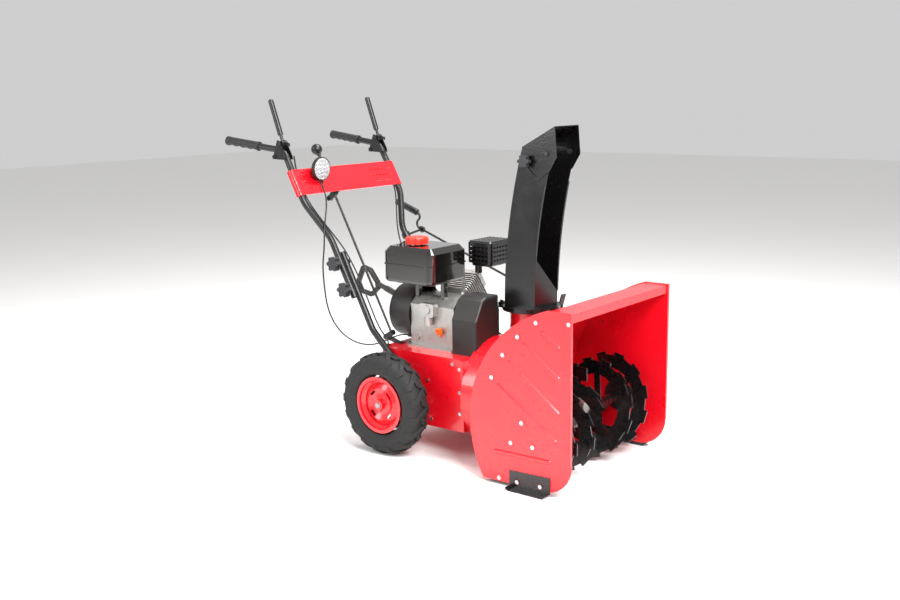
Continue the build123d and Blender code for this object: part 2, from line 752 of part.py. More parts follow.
tyre_crown = 10.0
with BuildPart() as tyre_right:
    with BuildSketch(Plane.YZ.offset(wheel_x)):
        with BuildLine():
            Polyline(
                (-wheel_inner - 9.4, wheel_radius + rim_radius - 6),
                (-wheel_inner - 9.4, wheel_radius + rim_radius + 2),
                (-wheel_inner, wheel_radius + rim_radius + 22),
                (-wheel_inner - 2, wheel_radius * 2 - 24),
                (-wheel_inner - tyre_crown, wheel_radius * 2 - 4),
                (-wheel_inner - 30, wheel_radius * 2),
                (-tyre_outer + 30, wheel_radius * 2),
                (-tyre_outer + tyre_crown, wheel_radius * 2 - 4),
                (-tyre_outer + 2, wheel_radius * 2 - 24),
                (-tyre_outer, wheel_radius + rim_radius + 22),
                (-tyre_outer + 15.4, wheel_radius + rim_radius + 2),
                (-tyre_outer + 15.4, wheel_radius + rim_radius - 6),
                (-tyre_outer + 24, wheel_radius + rim_radius - 8),
                (-tyre_outer + 14, wheel_radius + rim_radius + 24),
                (-tyre_outer + 14, wheel_radius * 2 - 22),
                (-wheel_inner - 14, wheel_radius * 2 - 22),
                (-wheel_inner - 14, wheel_radius + rim_radius + 24),
                (-wheel_inner - 20, wheel_radius + rim_radius - 8),
                close=True,
            )
        make_face()
    revolve(axis=wheel_axis)

with BuildPart() as rim_left:
    mirror(rim_right.part, about=Plane.XZ)

with BuildPart() as tyre_left:
    mirror(tyre_right.part, about=Plane.XZ)

# ---------------------------------------------------------------- engine
crank_axis = Axis((0, 0, crank_z), (1, 0, 0))
block_rear = -48.0
block_front = 132.0
block_half = 78.0
base_thickness = 6.0
block_top = 488.0
crank_bore = 44.0
journal = 12.5
cylinder_lean = 35.0
cylinder_x = 42.0
lean_low = 424.0
lean_face = 74.0
dip_plane = Plane((80, -block_half, 366), x_dir=(1, 0, 0), z_dir=(0, -cos(radians(50)), sin(radians(50))))
with BuildPart() as engine_block:
    with BuildSketch(Plane.XY.offset(case_top)):
        with Locations(((block_rear + block_front) / 2, 0)):
            RectangleRounded(block_front - block_rear + 16, 2 * block_half + 40, 10)
    extrude(amount=base_thickness)
    with BuildSketch(Plane.YZ.offset(block_rear)):
        with BuildLine():
            Polyline(
                (-block_half, case_top + base_thickness),
                (block_half, case_top + base_thickness),
                (block_half, lean_low),
                (block_half - lean_face * sin(radians(cylinder_lean)), lean_low + lean_face * cos(radians(cylinder_lean))),
                (-block_half + 30, block_top),
                (-block_half, block_top - 30),
                close=True,
            )
        make_face()
    extrude(amount=block_front - block_rear)
    fillet(engine_block.edges().filter_by(Axis.X).group_by(Axis.Z)[-1], 10)
    # side cover boss around the output shaft
    with BuildSketch(Plane.YZ.offset(block_front)):
        with Locations((0, crank_z)):
            Circle(58)
    extrude(amount=8)
    with BuildSketch(Plane.YZ.offset(block_front + 8)):
        with Locations((0, crank_z)):
            Circle(journal + 10)
    extrude(amount=5)
    with BuildSketch(Plane.YZ.offset(block_rear + 20)):
        with Locations((0, crank_z)):
            Circle(crank_bore)
    extrude(amount=block_front - block_rear - 34, mode=Mode.SUBTRACT)
    with BuildSketch(Plane.YZ.offset(block_rear - 1)):
        with Locations((0, crank_z)):
            Circle(journal + run_fit)
    extrude(amount=block_front - block_rear + 30, mode=Mode.SUBTRACT)
    # bore of the dipstick
    with BuildSketch(dip_plane.offset(-20)):
        Circle(5 + gap)
    extrude(amount=45, mode=Mode.SUBTRACT)
    # drain plug boss
    with BuildSketch(Plane.XZ.offset(block_half)):
        with Locations((block_rear + 26, case_top + 30)):
            Circle(11)
    extrude(amount=6)

web_radius = 40.0
flywheel_x = -112.0
pulley_face = disc_pulley_x + pulley_width
with BuildPart() as crankshaft:
    with BuildSketch(Plane.YZ.offset(flywheel_x - 12)):
        with Locations((0, crank_z)):
            Circle(journal)
    extrude(amount=impeller_pulley_x + pulley_width + 6 - flywheel_x + 12)
    for web_x in (block_rear + 38, block_front - 42):
        with BuildSketch(Plane.YZ.offset(web_x)):
            with Locations((0, crank_z)):
                Circle(web_radius)
        extrude(amount=14)
    with BuildSketch(Plane.YZ.offset(flywheel_x)):
        with Locations((0, crank_z)):
            Circle(flywheel_radius)
            Circle(flywheel_radius - 12, mode=Mode.SUBTRACT)
    extrude(amount=30)
    with BuildSketch(Plane.YZ.offset(flywheel_x)):
        with Locations((0, crank_z)):
            Circle(flywheel_radius)
    extrude(amount=6)
    # cooling blades of the flywheel
    with BuildSketch(Plane.YZ.offset(flywheel_x - 8)):
        with Locations((0, crank_z)):
            with PolarLocations(flywheel_radius - 14, 12):
                Rectangle(22, 3, rotation=25)
    extrude(amount=8.5)
    for start in (disc_pulley_x, impeller_pulley_x):
        with BuildSketch(Plane.XZ):
            add(pulley_profile(crank_z, engine_pulley_radius, start, journal - 1))
        revolve(axis=crank_axis)

lean_plane = Plane(
    (
        cylinder_x,
        block_half - lean_face / 2 * sin(radians(cylinder_lean)),
        lean_low + lean_face / 2 * cos(radians(cylinder_lean)),
    ),
    x_dir=(1, 0, 0),
    z_dir=(0, cos(radians(cylinder_lean)), sin(radians(cylinder_lean))),
)
fin_count = 9
fin_pitch = 9.0
fin_side = 104.0
barrel_start = 12.0
with BuildPart() as cylinder:
    with BuildSketch(lean_plane):
        RectangleRounded(fin_side - 34, fin_side - 34, 12)
    extrude(amount=barrel_start + fin_count * fin_pitch)
    for i in range(fin_count):
        with BuildSketch(lean_plane.offset(barrel_start + 3 + i * fin_pitch)):
            RectangleRounded(fin_side, fin_side - 8, 10)
        extrude(amount=3)

    # rocker cover
    with BuildSketch(lean_plane.offset(barrel_start + fin_count * fin_pitch)):
        RectangleRounded(fin_side - 30, fin_side - 34, 10)
    extrude(amount=24)

belt_gap = 0.4


def belt_loop(lower_radius, start):
    # a belt that lies in the grooves of two pulleys, one above the other
    upper = engine_pulley_radius - belt_thickness + belt_gap
    lower = lower_radius - belt_thickness + belt_gap
    with BuildSketch(Plane.YZ.offset(start + (pulley_width - belt_width) / 2 + 2.5)) as band:
        with Locations((0, crank_z)):
            Circle(upper + belt_thickness)
        with Locations((0, impeller_z)):
            Circle(lower + belt_thickness)
        make_hull()
    with BuildSketch(Plane.YZ.offset(start + (pulley_width - belt_width) / 2 + 2.5)) as inside:
        with Locations((0, crank_z)):
            Circle(upper)
        with Locations((0, impeller_z)):
            Circle(lower)
        make_hull()
    return band.sketch, inside.sketch


with BuildPart() as drive_belts:
    for lower_radius, start in ((disc_pulley_radius, disc_pulley_x), (impeller_pulley_radius, impeller_pulley_x)):
        band, inside = belt_loop(lower_radius, start)
        extrude(band, amount=belt_width - 5)
        extrude(inside, amount=belt_width - 5, mode=Mode.SUBTRACT)

cover_rear = 145.5
cover_front = 240.0
cover_right = -104.0
cover_left = 72.0
cover_top = 502.0
with BuildPart() as belt_cover:
    with BuildSketch(Plane.YZ.offset(cover_rear)):
        with BuildLine():
            Polyline(
                (cover_right, case_top),
                (cover_right, cover_top - 70),
                (cover_right + 34, cover_top - 10),
                (cover_right + 60, cover_top),
                (cover_left - 50, cover_top),
                (cover_left, cover_top - 60),
                (cover_left, case_top),
                close=True,
            )
        make_face()
    extrude(amount=cover_front - cover_rear)
    fillet(belt_cover.edges().filter_by(Axis.X).group_by(Axis.Z)[-1], 18)
    fillet(belt_cover.faces().sort_by(Axis.X)[-1].outer_wire().edges().filter_by(lambda e: e.center().Z > case_top + 5), 9)
    with BuildSketch(Plane.YZ.offset(cover_rear)):
        with BuildLine():
            Polyline(
                (cover_right + sheet, case_top),
                (cover_right + sheet, cover_top - 72),
                (cover_right + 38, cover_top - 15),
                (cover_right + 62, cover_top - sheet - 3),
                (cover_left - 54, cover_top - sheet - 3),
                (cover_left - sheet, cover_top - 62),
                (cover_left - sheet, case_top),
                close=True,
            )
        make_face()
    extrude(amount=cover_front - cover_rear - sheet, mode=Mode.SUBTRACT)
    # room for the drum in front and for the turning ring of the chute above it
    with BuildSketch(Plane.YZ.offset(drum_back - gap)):
        with Locations((0, impeller_z)):
            Circle(drum_radius + gap)
    extrude(amount=cover_front - drum_back + 1, mode=Mode.SUBTRACT)
    with BuildSketch(Plane.XY.offset(case_top)):
        with Locations((chute_x, chute_y)):
            Circle(flange_radius + 16)
    extrude(amount=cover_top - case_top, mode=Mode.SUBTRACT)

tank_wall = 3.0
with BuildPart() as fuel_tank:
    tank_middle = (tank_corner[0] + tank_size[0] / 2, tank_corner[1] + tank_size[1] / 2)
    with BuildSketch(Plane.XY.offset(tank_corner[2])):
        with Locations(tank_middle):
            RectangleRounded(tank_size[0], tank_size[1], 26)
    extrude(amount=tank_size[2])
    chamfer(fuel_tank.faces().sort_by(Axis.Z)[-1].edges(), 18)
    fillet(fuel_tank.faces().sort_by(Axis.Z)[0].edges(), 12)
    # seam where the two pressed halves meet
    with BuildSketch(Plane.XY.offset(tank_corner[2] + tank_size[2] * 0.5)):
        with Locations(tank_middle):
            RectangleRounded(tank_size[0] + 8, tank_size[1] + 8, 30)
    extrude(amount=3)
    with BuildSketch(Plane.XY.offset(tank_corner[2] + tank_wall)):
        with Locations(tank_middle):
            RectangleRounded(tank_size[0] - 40, tank_size[1] - 40, 16)
    extrude(amount=tank_size[2] - 2 * tank_wall, mode=Mode.SUBTRACT)
    # filler neck
    with BuildSketch(Plane.XY.offset(tank_corner[2] + tank_size[2] - tank_wall)):
        with Locations(filler):
            Circle(24)
    extrude(amount=tank_wall + 8)
    with BuildSketch(Plane.XY.offset(tank_corner[2] + tank_size[2] - tank_wall - 1)):
        with Locations(filler):
            Circle(20)
    extrude(amount=tank_wall + 12, mode=Mode.SUBTRACT)
    # brackets down to the crankcase
    for leg_x, leg_y in ((block_rear + 14, -50), (block_rear + 14, 20), (block_front - 60, -50)):
        with BuildSketch(Plane.XY.offset(block_top - 6)):
            with Locations((leg_x, leg_y)):
                Rectangle(14, 18)
        extrude(amount=tank_corner[2] - block_top + 8)
    add(engine_block.part, mode=Mode.SUBTRACT)

cap_radius = 38.0
with BuildPart() as fuel_cap:
    with BuildSketch(Plane.XY.offset(tank_corner[2] + tank_size[2] + 4)):
        with Locations(filler):
            Circle(cap_radius)
    extrude(amount=22)
    fillet(fuel_cap.faces().sort_by(Axis.Z)[-1].edges(), 7)
    with BuildSketch(Plane.XY.offset(tank_corner[2] + tank_size[2] + 3)):
        with Locations(filler):
            Circle(25)
    extrude(amount=6, mode=Mode.SUBTRACT)
    with BuildSketch(Plane.XY.offset(tank_corner[2] + tank_size[2] + 4)):
        with Locations(filler):
            with PolarLocations(cap_radius + 1, 12):
                Circle(3.5, mode=Mode.ADD)
    extrude(amount=20, mode=Mode.SUBTRACT)

with BuildPart() as muffler:
    with BuildSketch(Plane.XY.offset(muffler_centre[2] - muffler_size[2] / 2)):
        with Locations(muffler_centre[:2]):
            RectangleRounded(muffler_size[0] - 16, muffler_size[1] - 16, 14)
    extrude(amount=muffler_size[2] - 10)
    fillet(muffler.faces().filter_by(Axis.Z).edges(), 5)
    with BuildSketch(Plane.XY.offset(exhaust_low)):
        with Locations((cylinder_x + 44, muffler_centre[1] - 10)):
            Circle(12)
    extrude(amount=muffler_centre[2] - muffler_size[2] / 2 - exhaust_low + 1)

guard_wall = 2.0
with BuildPart() as muffler_guard:
    guard_base = muffler_centre[2] - muffler_size[2] / 2 + 12
    with BuildSketch(Plane.XY.offset(guard_base)):
        with Locations(muffler_centre[:2]):
            RectangleRounded(muffler_size[0], muffler_size[1], 12)
    extrude(amount=muffler_size[2] - 12)
    chamfer(muffler_guard.faces().sort_by(Axis.Z)[-1].edges(), 6)
    with BuildSketch(Plane.XY.offset(guard_base)):
        with Locations(muffler_centre[:2]):
            RectangleRounded(muffler_size[0] - 2 * guard_wall, muffler_size[1] - 2 * guard_wall, 11)
    extrude(amount=muffler_size[2] - 12 - guard_wall - 4, mode=Mode.SUBTRACT)
    # slots of the sides and the top
    with BuildSketch(Plane.XZ.offset(-muffler_centre[1] - muffler_size[1])):
        with Locations((muffler_centre[0], muffler_centre[2])):
            with GridLocations(16, 14, 5, 4):
                SlotOverall(12, 6)
    extrude(amount=2 * muffler_size[1], mode=Mode.SUBTRACT)
    with BuildSketch(Plane.YZ.offset(muffler_centre[0] - muffler_size[0])):
        with Locations((muffler_centre[1], muffler_centre[2])):
            with GridLocations(16, 14, 6, 4):
                SlotOverall(12, 6)
    extrude(amount=2 * muffler_size[0], mode=Mode.SUBTRACT)
    with BuildSketch(Plane.XY.offset(muffler_centre[2])):
        with Locations(muffler_centre[:2]):
            with GridLocations(14, 16, 5, 6):
                SlotOverall(12, 6, rotation=90)
    extrude(amount=muffler_size[2], mode=Mode.SUBTRACT)

recoil_rear = -165.0
shroud_wall = 2.5
with BuildPart() as recoil_cover:
    # blower shroud and starter dome, a half section turned about the crank axis
    with BuildSketch(Plane.XZ):
        with BuildLine():
            Polyline(
                (block_rear, crank_z + recoil_radius),
                (flywheel_x - 22, crank_z + recoil_radius),
                (recoil_rear + 8, crank_z + recoil_radius * 0.66),
                (recoil_rear, crank_z + recoil_radius * 0.5),
                (recoil_rear, crank_z),
                (recoil_rear + shroud_wall, crank_z),
                (recoil_rear + shroud_wall, crank_z + recoil_radius * 0.48),
                (recoil_rear + 10.5, crank_z + recoil_radius * 0.63),
                (flywheel_x - 20, crank_z + recoil_radius - shroud_wall - 1),
                (block_rear, crank_z + recoil_radius - shroud_wall),
                close=True,
            )
        make_face()
    revolve(axis=crank_axis)
    # air slots round the dome
    with BuildSketch(Plane.YZ.offset(recoil_rear - 2)):
        with Locations((0, crank_z)):
            with PolarLocations(recoil_radius * 0.3, 8):
                SlotOverall(16, 6)
    extrude(amount=6, mode=Mode.SUBTRACT)
    # rope outlet
    with BuildSketch(rope_plane):
        Circle(11)
    extrude(amount=rope_tube)
    with BuildSketch(rope_plane.offset(-40)):
        Circle(5)
    extrude(amount=rope_tube + 50, mode=Mode.SUBTRACT)

carburettor_x = block_front - 92
with BuildPart() as carburettor:
    with BuildSketch(Plane.XZ.offset(block_half)):
        with Locations((carburettor_x, crank_z + 28)):
            RectangleRounded(56, 44, 8)
    extrude(amount=26)
    with BuildSketch(Plane.XY.offset(crank_z - 22)):
        with Locations((carburettor_x, -block_half - 15)):
            Circle(13)
    extrude(amount=32)
    with BuildSketch(Plane.XZ.offset(block_half + 26)):
        with Locations((carburettor_x, crank_z + 30)):
            Circle(15)
    extrude(amount=5)

with BuildPart() as dipstick:
    with BuildSketch(dip_plane.offset(14)):
        Circle(11)
    extrude(amount=9)
    with BuildSketch(dip_plane.offset(23)):
        SlotOverall(20, 6)
    extrude(amount=7)
    with BuildSketch(dip_plane.offset(-18)):
        Circle(5)
    extrude(amount=32)

# ---------------------------------------------------------------- chute
chute_back = chute_x - chute_depth / 2
chute_front = chute_x + chute_depth / 2
collar_bottom = neck_top - 6
flange_bottom = neck_top + gap
flange_top = flange_bottom + flange_thickness
clip_angles = (195, 315)
chute_wall = 2.5
with BuildPart() as chute_collar:
    with BuildSketch(Plane.XY.offset(collar_bottom)):
        with Locations((chute_x, chute_y)):
            Circle(flange_radius - 2)
            Circle(neck_radius, mode=Mode.SUBTRACT)
    extrude(amount=neck_top - collar_bottom)
    for angle in clip_angles:
        with BuildSketch(Plane.XY.offset(collar_bottom)):
            with Locations((chute_x, chute_y)):
                with Locations(Rot(0, 0, angle)):
                    with Locations((flange_radius + 2, 0)):
                        Rectangle(24, 26)
                Circle(flange_radius - 4, mode=Mode.SUBTRACT)
        extrude(amount=neck_top - collar_bottom)
        with BuildSketch(Plane.XY.offset(neck_top)):
            with Locations((chute_x, chute_y)):
                with Locations(Rot(0, 0, angle)):
                    with Locations((flange_radius + 7.5, 0)):
                        Rectangle(13, 26)
        extrude(amount=flange_thickness + 2 * gap)
        with BuildSketch(Plane.XY.offset(flange_top + gap)):
            with Locations((chute_x, chute_y)):
                with Locations(Rot(0, 0, angle)):
                    with Locations((flange_radius + 5, 0)):
                        Rectangle(18, 26)
        extrude(amount=3)
        with BuildSketch(Plane.XY.offset(flange_top + gap + 3)):
            with Locations((chute_x, chute_y)):
                with Locations(Rot(0, 0, angle)):
                    with Locations((flange_radius + 7, 0)):
                        RegularPolygon(6.5, 6)
        extrude(amount=5)

with BuildSketch() as chute_side:
    with BuildLine():
        TangentArc((chute_back, flange_top), (chute_back + chute_lean, chute_top), tangent=(0, 1))
        Line((chute_back + chute_lean, chute_top), (chute_front + chute_lean, chute_top))
        TangentArc((chute_front, flange_top), (chute_front + chute_lean, chute_top), tangent=(0, 1))
        Line((chute_front, flange_top), (chute_back, flange_top))
    make_face()

pivot_x = chute_front + chute_lean - 20
pivot_z = chute_top - 8
knob_x = chute_back + chute_lean + 22
knob_z = chute_top - 33
chute_plane = Plane((0, chute_y, 0), x_dir=(1, 0, 0), z_dir=(0, -1, 0))
with BuildPart() as chute:
    with BuildSketch(Plane.XY.offset(flange_bottom)):
        with Locations((chute_x, chute_y)):
            Circle(flange_radius)
            Circle(chute_depth / 2 - 4, mode=Mode.SUBTRACT)
    extrude(amount=flange_thickness)
    with BuildSketch(chute_plane):
        add(chute_side.sketch)
    extrude(amount=chute_width / 2, both=True)
    with BuildSketch(chute_plane):
        with Locations((chute_wall, 0)):
            add(chute_side.sketch)
        with Locations((chute_wall + 12, 0)):
            add(chute_side.sketch)
        with Locations((chute_wall + 12, 10)):
            add(chute_side.sketch)
    extrude(amount=chute_width / 2 - chute_wall, both=True, mode=Mode.SUBTRACT)
    # slanting plate that closes the foot of the channel in front
    with BuildSketch(Plane.YZ.offset(chute_front - chute_wall)):
        with BuildLine():
            Polyline(
                (chute_y - chute_width / 2, flange_top),
                (chute_y + chute_width / 2, flange_top),
                (chute_y + chute_width / 2, flange_top + 40),
                (chute_y - chute_width / 2, flange_top + 165),
                close=True,
            )
        make_face()
    extrude(amount=chute_wall)
    # holes for the pivot and the clamp bolt
    with BuildSketch(chute_plane):
        with Locations((pivot_x, pivot_z), (knob_x, knob_z)):
            Circle(4.2)
    extrude(amount=chute_width, both=True, mode=Mode.SUBTRACT)

deflector_half = chute_width / 2 + gap
deflector_wall = 2.5
slot_radius = hypot(knob_x - pivot_x, knob_z - pivot_z)
slot_start = degrees(atan2(knob_z - pivot_z, knob_x - pivot_x)) % 360
slot_path = CenterArc((pivot_x, pivot_z), slot_radius, slot_start - 1, 42)
with BuildPart() as chute_deflector:
    with BuildSketch(chute_plane):
        with BuildLine():
            Polyline(
                (pivot_x - 91, pivot_z + 18),
                (pivot_x + 28, pivot_z + 82),
                (pivot_x + 35, pivot_z - 8),
                (pivot_x + 8, pivot_z - 52),
                (pivot_x - 32, pivot_z - 86),
                (pivot_x - 74, pivot_z - 66),
                (pivot_x - 93, pivot_z - 20),
                close=True,
            )
        make_face()
    extrude(amount=deflector_half + deflector_wall, both=True)
    with BuildSketch(chute_plane):
        with BuildLine():
            Polyline(
                (pivot_x - 130, pivot_z - 6),
                (pivot_x + 40, pivot_z + 85.5),
                (pivot_x + 60, pivot_z - 100),
                (pivot_x - 120, pivot_z - 100),
                close=True,
            )
        make_face()
    extrude(amount=deflector_half, both=True, mode=Mode.SUBTRACT)
    with BuildSketch(chute_plane):
        SlotArc(slot_path, 8.6)
        with Locations((pivot_x, pivot_z)):
            Circle(4.3)
    extrude(amount=chute_width, both=True, mode=Mode.SUBTRACT)


def star_knob(radius, height):
    # a moulded knob with six lobes on a short neck, standing on the XY plane
    with BuildPart() as knob:
        with BuildSketch():
            Circle(radius * 0.5)
        extrude(amount=height * 0.35)
        with BuildSketch(Plane.XY.offset(height * 0.35)):
            Circle(radius * 0.74)
            with PolarLocations(radius * 0.74, 6):
                Circle(radius * 0.26)
        extrude(amount=height * 0.65)
        fillet(knob.faces().sort_by(Axis.Z)[-1].edges(), 1.2)
    return knob.part


deflector_face = deflector_half + deflector_wall + gap
with BuildPart() as deflector_knobs:
    add(Pos(pivot_x, chute_y + deflector_face, pivot_z) * Rot(-90, 0, 0) * star_knob(21, 24))
    add(Pos(knob_x, chute_y - deflector_face, knob_z) * Rot(90, 0, 0) * star_knob(21, 24))
    for bolt_x, bolt_z, side in ((pivot_x, pivot_z, 1), (knob_x, knob_z, -1)):
        with BuildSketch(Plane.XZ.offset(-chute_y - side * (chute_width / 2 - chute_wall - 4))):
            with Locations((bolt_x, bolt_z)):
                Circle(4)
        extrude(amount=-side * (deflector_face - chute_width / 2 + chute_wall + 4))
        with BuildSketch(Plane.XZ.offset(-chute_y - side * (chute_width / 2 - chute_wall - 4))):
            with Locations((bolt_x, bolt_z)):
                Circle(8)
        extrude(amount=-side * 4)
    # plain pivot bolt on the near side
    with BuildSketch(Plane.XZ.offset(-chute_y + deflector_face)):
        with Locations((pivot_x, pivot_z)):
            RegularPolygon(7, 6)
    extrude(amount=5)
    with BuildSketch(Plane.XZ.offset(-chute_y + chute_width / 2 - chute_wall - 5)):
        with Locations((pivot_x, pivot_z)):
            Circle(4)
    extrude(amount=deflector_face - chute_width / 2 + chute_wall + 5)

# ---------------------------------------------------------------- chute crank
eye = Vector(*crank_eye)
tangent_reach = flange_radius + mesh_gap + chute_worm_radius
to_ring = hypot(chute_x - eye.X, chute_y - eye.Y)
tangent_run = sqrt(to_ring**2 - tangent_reach**2)
tangent_way = atan2(chute_y - eye.Y, chute_x - eye.X) + atan2(tangent_reach, tangent_run)
worm_point = Vector(
    eye.X + tangent_run * cos(tangent_way),
    eye.Y + tangent_run * sin(tangent_way),
    flange_bottom + flange_thickness / 2,
)
rod_way = (worm_point - eye).normalized()
up_way = (Vector(0, 0, 1) - rod_way * rod_way.Z).normalized()
worm_plane = Plane(worm_point, x_dir=rod_way.cross(up_way), z_dir=rod_way)
eye_plane = Plane(eye, x_dir=rod_way.cross(up_way), z_dir=rod_way)
worm_length = 60.0
crank_throw = 50.0
crank_points = (
    worm_point + rod_way * 48,
    eye - rod_way * 46,
    eye - rod_way * 8 + up_way * crank_throw,
    eye - rod_way * 50 + up_way * crank_throw,
)
with BuildPart() as chute_crank:
    crank_path = tube_path(crank_points, [16, 14])
    with BuildSketch(Plane(crank_points[0], z_dir=-rod_way)):
        Circle(crank_rod_radius)
    sweep(path=crank_path)
    with BuildSketch(worm_plane.offset(-worm_length / 2)):
        Circle(chute_worm_radius)
    extrude(amount=worm_length)
    with BuildSketch(Plane(crank_points[3] + rod_way * 12, z_dir=-rod_way)):
        Circle(12)
    extrude(amount=112)
    fillet(chute_crank.edges().filter_by(GeomType.CIRCLE).filter_by(lambda e: abs(e.radius - 12) < 0.1), 4)
    # stop collars on each side of the eye
    for along in (-12, 8):
        with BuildSketch(eye_plane.offset(along)):
            Circle(crank_rod_radius + 3)
        extrude(amount=4)

upper_way = (Vector(*lower_top) - Vector(*lower_bend)).normalized()
overlap_start = Vector(*lower_bend) + upper_way * ((upper_foot_z - lower_bend[2]) / upper_way.Z)
tube_offset = 2 * tube_radius + gap + 0.2
upper_foot = overlap_start + Vector(0, tube_offset, 0)
clamp_points = [upper_foot + upper_way * run for run in (32, 126)]

with BuildPart() as crank_guides:
    # eye on a stay from the left handle tube
    with BuildSketch(eye_plane.offset(-6)):
        Circle(11)
        Circle(crank_rod_radius + run_fit, mode=Mode.SUBTRACT)
    extrude(amount=12)
    upper_run = (Vector(*upper_points[0]) - upper_foot).normalized()
    stay_foot = upper_foot + upper_run * 182
    stay_way = (eye - stay_foot).normalized()
    stay_length = (eye - stay_foot).length
    with BuildSketch(Plane(stay_foot, z_dir=stay_way)):
        Circle(4)
    extrude(amount=stay_length - 9)
    with BuildSketch(Plane(stay_foot - upper_run * 9, z_dir=upper_run)):
        Circle(tube_radius + 4)
    extrude(amount=18)
    with BuildSketch(Plane(stay_foot - upper_run * 20, z_dir=upper_run)):
        Circle(tube_radius + run_fit)
    extrude(amount=40, mode=Mode.SUBTRACT)
    # two ears that carry the worm, on a shelf from the chute neck
    shelf_z = worm_point.Z - 34
    with BuildSketch(Plane.XY.offset(shelf_z)):
        with Locations((worm_point.X, worm_point.Y - 25)):
            Rectangle(104, 76, rotation=degrees(tangent_way))
        with Locations((chute_x, chute_y)):
            Circle(neck_radius, mode=Mode.SUBTRACT)
    extrude(amount=4)
    for along in (-44, 38):
        ear = worm_plane.offset(along)
        with BuildSketch(ear):
            with Locations((0, -16)):
                Rectangle(22, 52)
            Circle(crank_rod_radius + run_fit, mode=Mode.SUBTRACT)
        extrude(amount=4)
    with BuildSketch(Plane.XY.offset(shelf_z - 60)):
        with Locations((worm_point.X, worm_point.Y)):
            Rectangle(200, 200)
    extrude(amount=60, mode=Mode.SUBTRACT)

# ---------------------------------------------------------------- handles, built on the left and mirrored
foot_bolts = [Vector(*lower_foot) + (Vector(*lower_bend) - Vector(*lower_foot)).normalized() * run for run in (14, 96)]
with BuildPart() as lower_handle_left:
    lower_points = (lower_foot, lower_bend, lower_top)
    lower_path = tube_path(lower_points, 90)
    with BuildSketch(Plane(lower_foot, z_dir=Vector(*lower_bend) - Vector(*lower_foot))):
        Circle(tube_radius)
        Circle(tube_radius - tube_wall, mode=Mode.SUBTRACT)
    sweep(path=lower_path)
    for point in clamp_points + foot_bolts:
        with BuildSketch(Plane.XZ.offset(-point.Y - 40)):
            with Locations((point.X, point.Z)):
                Circle(4.1)
        extrude(amount=80, mode=Mode.SUBTRACT)

upper_route = (tuple(upper_foot),) + upper_points
with BuildPart() as upper_handle_left:
    upper_path = tube_path(upper_route, [90, 90, 50])
    with BuildSketch(Plane(upper_foot, z_dir=upper_way)):
        Circle(tube_radius)
        Circle(tube_radius - tube_wall, mode=Mode.SUBTRACT)
    sweep(path=upper_path)
    for point in clamp_points:
        with BuildSketch(Plane.XZ.offset(-point.Y - 40)):
            with Locations((point.X, point.Z)):
                Circle(4.1)
        extrude(amount=80, mode=Mode.SUBTRACT)

with BuildPart() as lower_handle_right:
    mirror(lower_handle_left.part, about=Plane.XZ)
with BuildPart() as upper_handle_right:
    mirror(upper_handle_left.part, about=Plane.XZ)

grip_end = Vector(*upper_points[-1])
grip_way = (grip_end - Vector(*upper_points[-2])).normalized()
with BuildPart() as grip_left:
    with BuildSketch(Plane(grip_end + grip_way * 4, z_dir=-grip_way)):
        Circle(grip_radius)
    extrude(amount=grip_length)
    fillet(grip_left.edges(), 4)
    with BuildSketch(Plane(grip_end + grip_way * gap, z_dir=-grip_way)):
        Circle(tube_radius + gap / 2)
    extrude(amount=grip_length + 5, mode=Mode.SUBTRACT)
with BuildPart() as handle_grips:
    add(grip_left.part)
    mirror(grip_left.part, about=Plane.XZ)

knob_seat = 1.2
with BuildPart() as knobs_left:
    for point in clamp_points:
        outer_face = point.Y + tube_radius + knob_seat
        head_face = point.Y - tube_offset - tube_radius - knob_seat
        add(Pos(point.X, outer_face, point.Z) * Rot(-90, 0, 0) * star_knob(25, 32))
        with BuildSketch(Plane.XZ.offset(-head_face)):
            with Locations((point.X, point.Z)):
                Circle(4)
        extrude(amount=-(outer_face - head_face))
        with BuildSketch(Plane.XZ.offset(-head_face)):
            with Locations((point.X, point.Z)):
                RegularPolygon(8, 6)
        extrude(amount=5)
with BuildPart() as handle_knobs:
    add(knobs_left.part)
    mirror(knobs_left.part, about=Plane.XZ)

case_bolts = ((218, 290), (218, 215), (218, 146), (190, 303), (88, 236), (-78, 280), (-92, 216), (-60, 130), (100, 110))
with BuildPart() as frame_bolts_left:
    for point in foot_bolts:
        with BuildSketch(Plane.XZ.offset(-point.Y - tube_radius - gap)):
            with Locations((point.X, point.Z)):
                RegularPolygon(bolt_head, 6)
        extrude(amount=-5)
        with BuildSketch(Plane.XZ.offset(-case_half - gap)):
            with Locations((point.X, point.Z)):
                Circle(4)
        extrude(amount=-(point.Y + tube_radius - case_half))
    for bolt_x, bolt_z in case_bolts:
        with BuildSketch(Plane.XZ.offset(-case_half)):
            with Locations((bolt_x, bolt_z)):
                RegularPolygon(6, 6)
        extrude(amount=-4)
with BuildPart() as frame_bolts:
    add(frame_bolts_left.part)
    mirror(frame_bolts_left.part, about=Plane.XZ)

